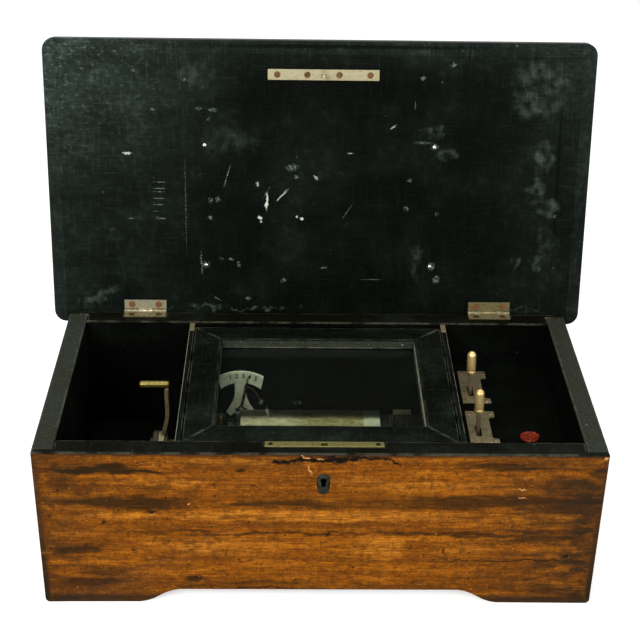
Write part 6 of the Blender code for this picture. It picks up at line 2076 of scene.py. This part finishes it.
@dataclass
class Controls:
    """The control plates, levers, knobs and the wax seal."""

    facets: int = 40
    tail_angle: float = 0.35

    def build(self) -> None:
        """Builds the knobs and the seal anew and dresses the rest."""
        for name in ("control_plate_back", "control_plate_front"):
            refined(name, [PLATE_STEEL], arris=0.3, shortest=1.6)
            self.plate_screws(name)
        dress(LEVER_STEEL, "change_repeat_lever", "start_stop_lever")
        for control in ("change_repeat", "start_stop"):
            self.knob(f"{control}_knob", f"{control}_tilt")
        self.seal()

    def plate_screws(self, node: str) -> None:
        """Three screws in a control plate's ears.

        Args:
            node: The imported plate.
        """
        near, far = (CASE.inverted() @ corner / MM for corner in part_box(node))
        right = far.x - 3.3
        spots = [
            (right, near.y + 3.0, far.z, 20),
            (right, far.y - 4.4, far.z, 70),
            (near.x + 3.6, far.y - 4.6, far.z, 110),
        ]
        kind = Screw(radius=2.0, proud=0.35, slot=0.5, dome=0.3)
        screws(f"{node}_screws", LEVER_STEEL, "root", CASE, spots, kind)

    def knob(self, node: str, lever: str) -> None:
        """A turned bullet-shaped knob with a collar, on its leaning lever.

        Args:
            node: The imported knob.
            lever: The lever's joint.
        """
        verts = [v.co for v in frame["nodes"][node].data.vertices]
        pivot = Vector(joint(lever)["pos_m"])
        middle = sum(verts, Vector()) / len(verts)
        rise = middle - Vector((middle.x, pivot.y, pivot.z))
        lean = math.atan2(-rise.y, rise.z)
        place = Matrix.Translation(pivot) @ Matrix.Rotation(lean, 4, "X")
        local = points(node, place)
        low, high = min(v.z for v in local), max(v.z for v in local)
        radius = max(math.hypot(v.x, v.y) for v in local)
        neck = radius * 0.74
        dome = []
        for i in range(9):
            turn = math.pi / 2 * i / 8
            dome.append((radius * 0.97 * math.cos(turn), high - radius * 1.15 * (1 - math.sin(turn))))
        profile = rounded([
            (1.5, low + 7.5, 0), (1.5, low, 0), (radius, low, 0.4), (radius, low + 2.2, 0.4),
            (neck, low + 2.3, 0.2), (neck, low + 2.9, 0.2), (radius * 0.97, low + 3.1, 0.3),
            (radius * 0.97, low + 6, 0),
        ]) + dome[:-1] + [(0, high)]
        piece = finished(f"turned_{node}", lathed(profile, self.facets), KNOB_BRASS, place, body_of(node))
        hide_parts(node)

    def seal(self) -> None:
        """The wax seal: an uneven round with a pressed middle and a raised lip."""
        low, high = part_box("wax_seal")
        radius = (high.x - low.x) / 2 / MM
        height = (high.z - low.z) / MM
        profile = [
            (0, 0), (radius * 0.93, 0), (radius * 0.985, height * 0.3), (radius * 0.95, height * 0.75),
            (radius * 0.86, height * 0.98), (radius * 0.76, height * 0.8), (radius * 0.7, height * 0.62),
            (radius * 0.45, height * 0.56), (0, height * 0.6),
        ]
        bm = lathed(profile, 54)
        for vert in bm.verts:
            turn = math.atan2(vert.co.y, vert.co.x)
            reach = vert.co.xy.length / radius
            swell = 0.5 + 0.5 * math.sin(turn * 3 + 0.7) * math.cos(turn * 5 + 1.9)
            pulled = max(0.0, math.cos(turn - self.tail_angle)) ** 5
            inset = 0.09 * swell + 0.1 * (1 - pulled)
            vert.co.x *= 1 - inset * reach
            vert.co.y *= 1 - inset * reach
            vert.co.z *= 1 - 0.25 * swell * reach
        centre = (low + high) / 2
        place = Matrix.Translation((centre.x, centre.y, low.z))
        piece = finished("pressed_wax_seal", bm, WAX, place, "root")
        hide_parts("wax_seal")


@dataclass
class Studio:
    """The floor, the lights and the camera at the photograph's view."""

    lens: float = 78.76
    shift_y: float = 0.0625
    eye: tuple[float, float, float] = (-23.7, -967.4, 734.4)
    down: float = 30.70
    towards_right: float = 1.417
    roll: float = 1.10
    floor_half: float = 1500.0
    fill: float = 0.42

    def build(self) -> None:
        """Sets the stage."""
        self.floor()
        self.world()
        self.lamps()
        self.camera()
        view = bpy.context.scene.view_settings
        view.view_transform = "Standard"

    def floor(self) -> None:
        """A plain pale floor."""
        bm = bmesh.new()
        bmesh.ops.create_grid(bm, x_segments=1, y_segments=1, size=self.floor_half * MM)
        mesh = bpy.data.meshes.new("floor")
        bm.to_mesh(mesh)
        bm.free()
        mesh.materials.append(FLOOR.material())
        floor = bpy.data.objects.new("floor", mesh)
        bpy.context.scene.collection.objects.link(floor)

    def world(self) -> None:
        """White behind the object, and a softer white that lights it."""
        world = bpy.data.worlds.new("studio")
        bpy.context.scene.world = world
        world.use_nodes = True
        tree = world.node_tree
        back = tree.nodes["Background"]
        back.inputs["Color"].default_value = (1, 1, 1, 1)
        values = {"Value": seen_as_background(tree), "To Min": self.fill, "To Max": 1.0}
        strength = add(tree, "MapRange", values).outputs["Result"]
        tree.links.new(strength, back.inputs["Strength"])

    def lamps(self) -> None:
        """Two soft boxes in front and a weak one above."""
        lamps = (
            ("key_softbox", (-950, -1500, 1250), 900, 26.0),
            ("fill_softbox", (1250, -1300, 950), 900, 13.0),
            ("top_softbox", (0, 200, 1900), 1200, 10.0),
        )
        target = CASE @ Vector((0, 0, 120 * MM))
        for name, place, size, power in lamps:
            data = bpy.data.lights.new(name, "AREA")
            data.shape = "SQUARE"
            data.size = size * MM
            data.energy = power
            lamp = bpy.data.objects.new(name, data)
            lamp.location = CASE @ (Vector(place) * MM)
            lamp.rotation_euler = (target - lamp.location).to_track_quat("-Z", "Y").to_euler()
            bpy.context.scene.collection.objects.link(lamp)

    def camera(self) -> None:
        """The camera that the photograph was fitted to."""
        data = bpy.data.cameras.new("camera")
        data.lens = self.lens
        data.sensor_width = 36.0
        data.shift_y = self.shift_y
        camera = bpy.data.objects.new("camera", data)
        turn = Matrix.Rotation(-math.radians(self.towards_right), 4, "Z")
        tilt = Matrix.Rotation(math.radians(90 - self.down), 4, "X")
        spin = Matrix.Rotation(math.radians(self.roll), 4, "Z")
        camera.matrix_world = CASE @ Matrix.Translation(Vector(self.eye) * MM) @ turn @ tilt @ spin
        bpy.context.scene.collection.objects.link(camera)
        bpy.context.scene.camera = camera


def main() -> None:
    """Builds the sub-assemblies in order and reports each."""
    logging.basicConfig(level=logging.INFO, format="%(message)s")
    parts = (
        Case(), OuterLid(), Hinges(), InnerLid(), LockSet(), WindingLever(), Movement(), TuneIndicator(),
        Controls(),
    )
    for part in parts:
        part.build()
        log.info("%s built", type(part).__name__)
    Studio().build()


if __name__ == "__main__":
    main()
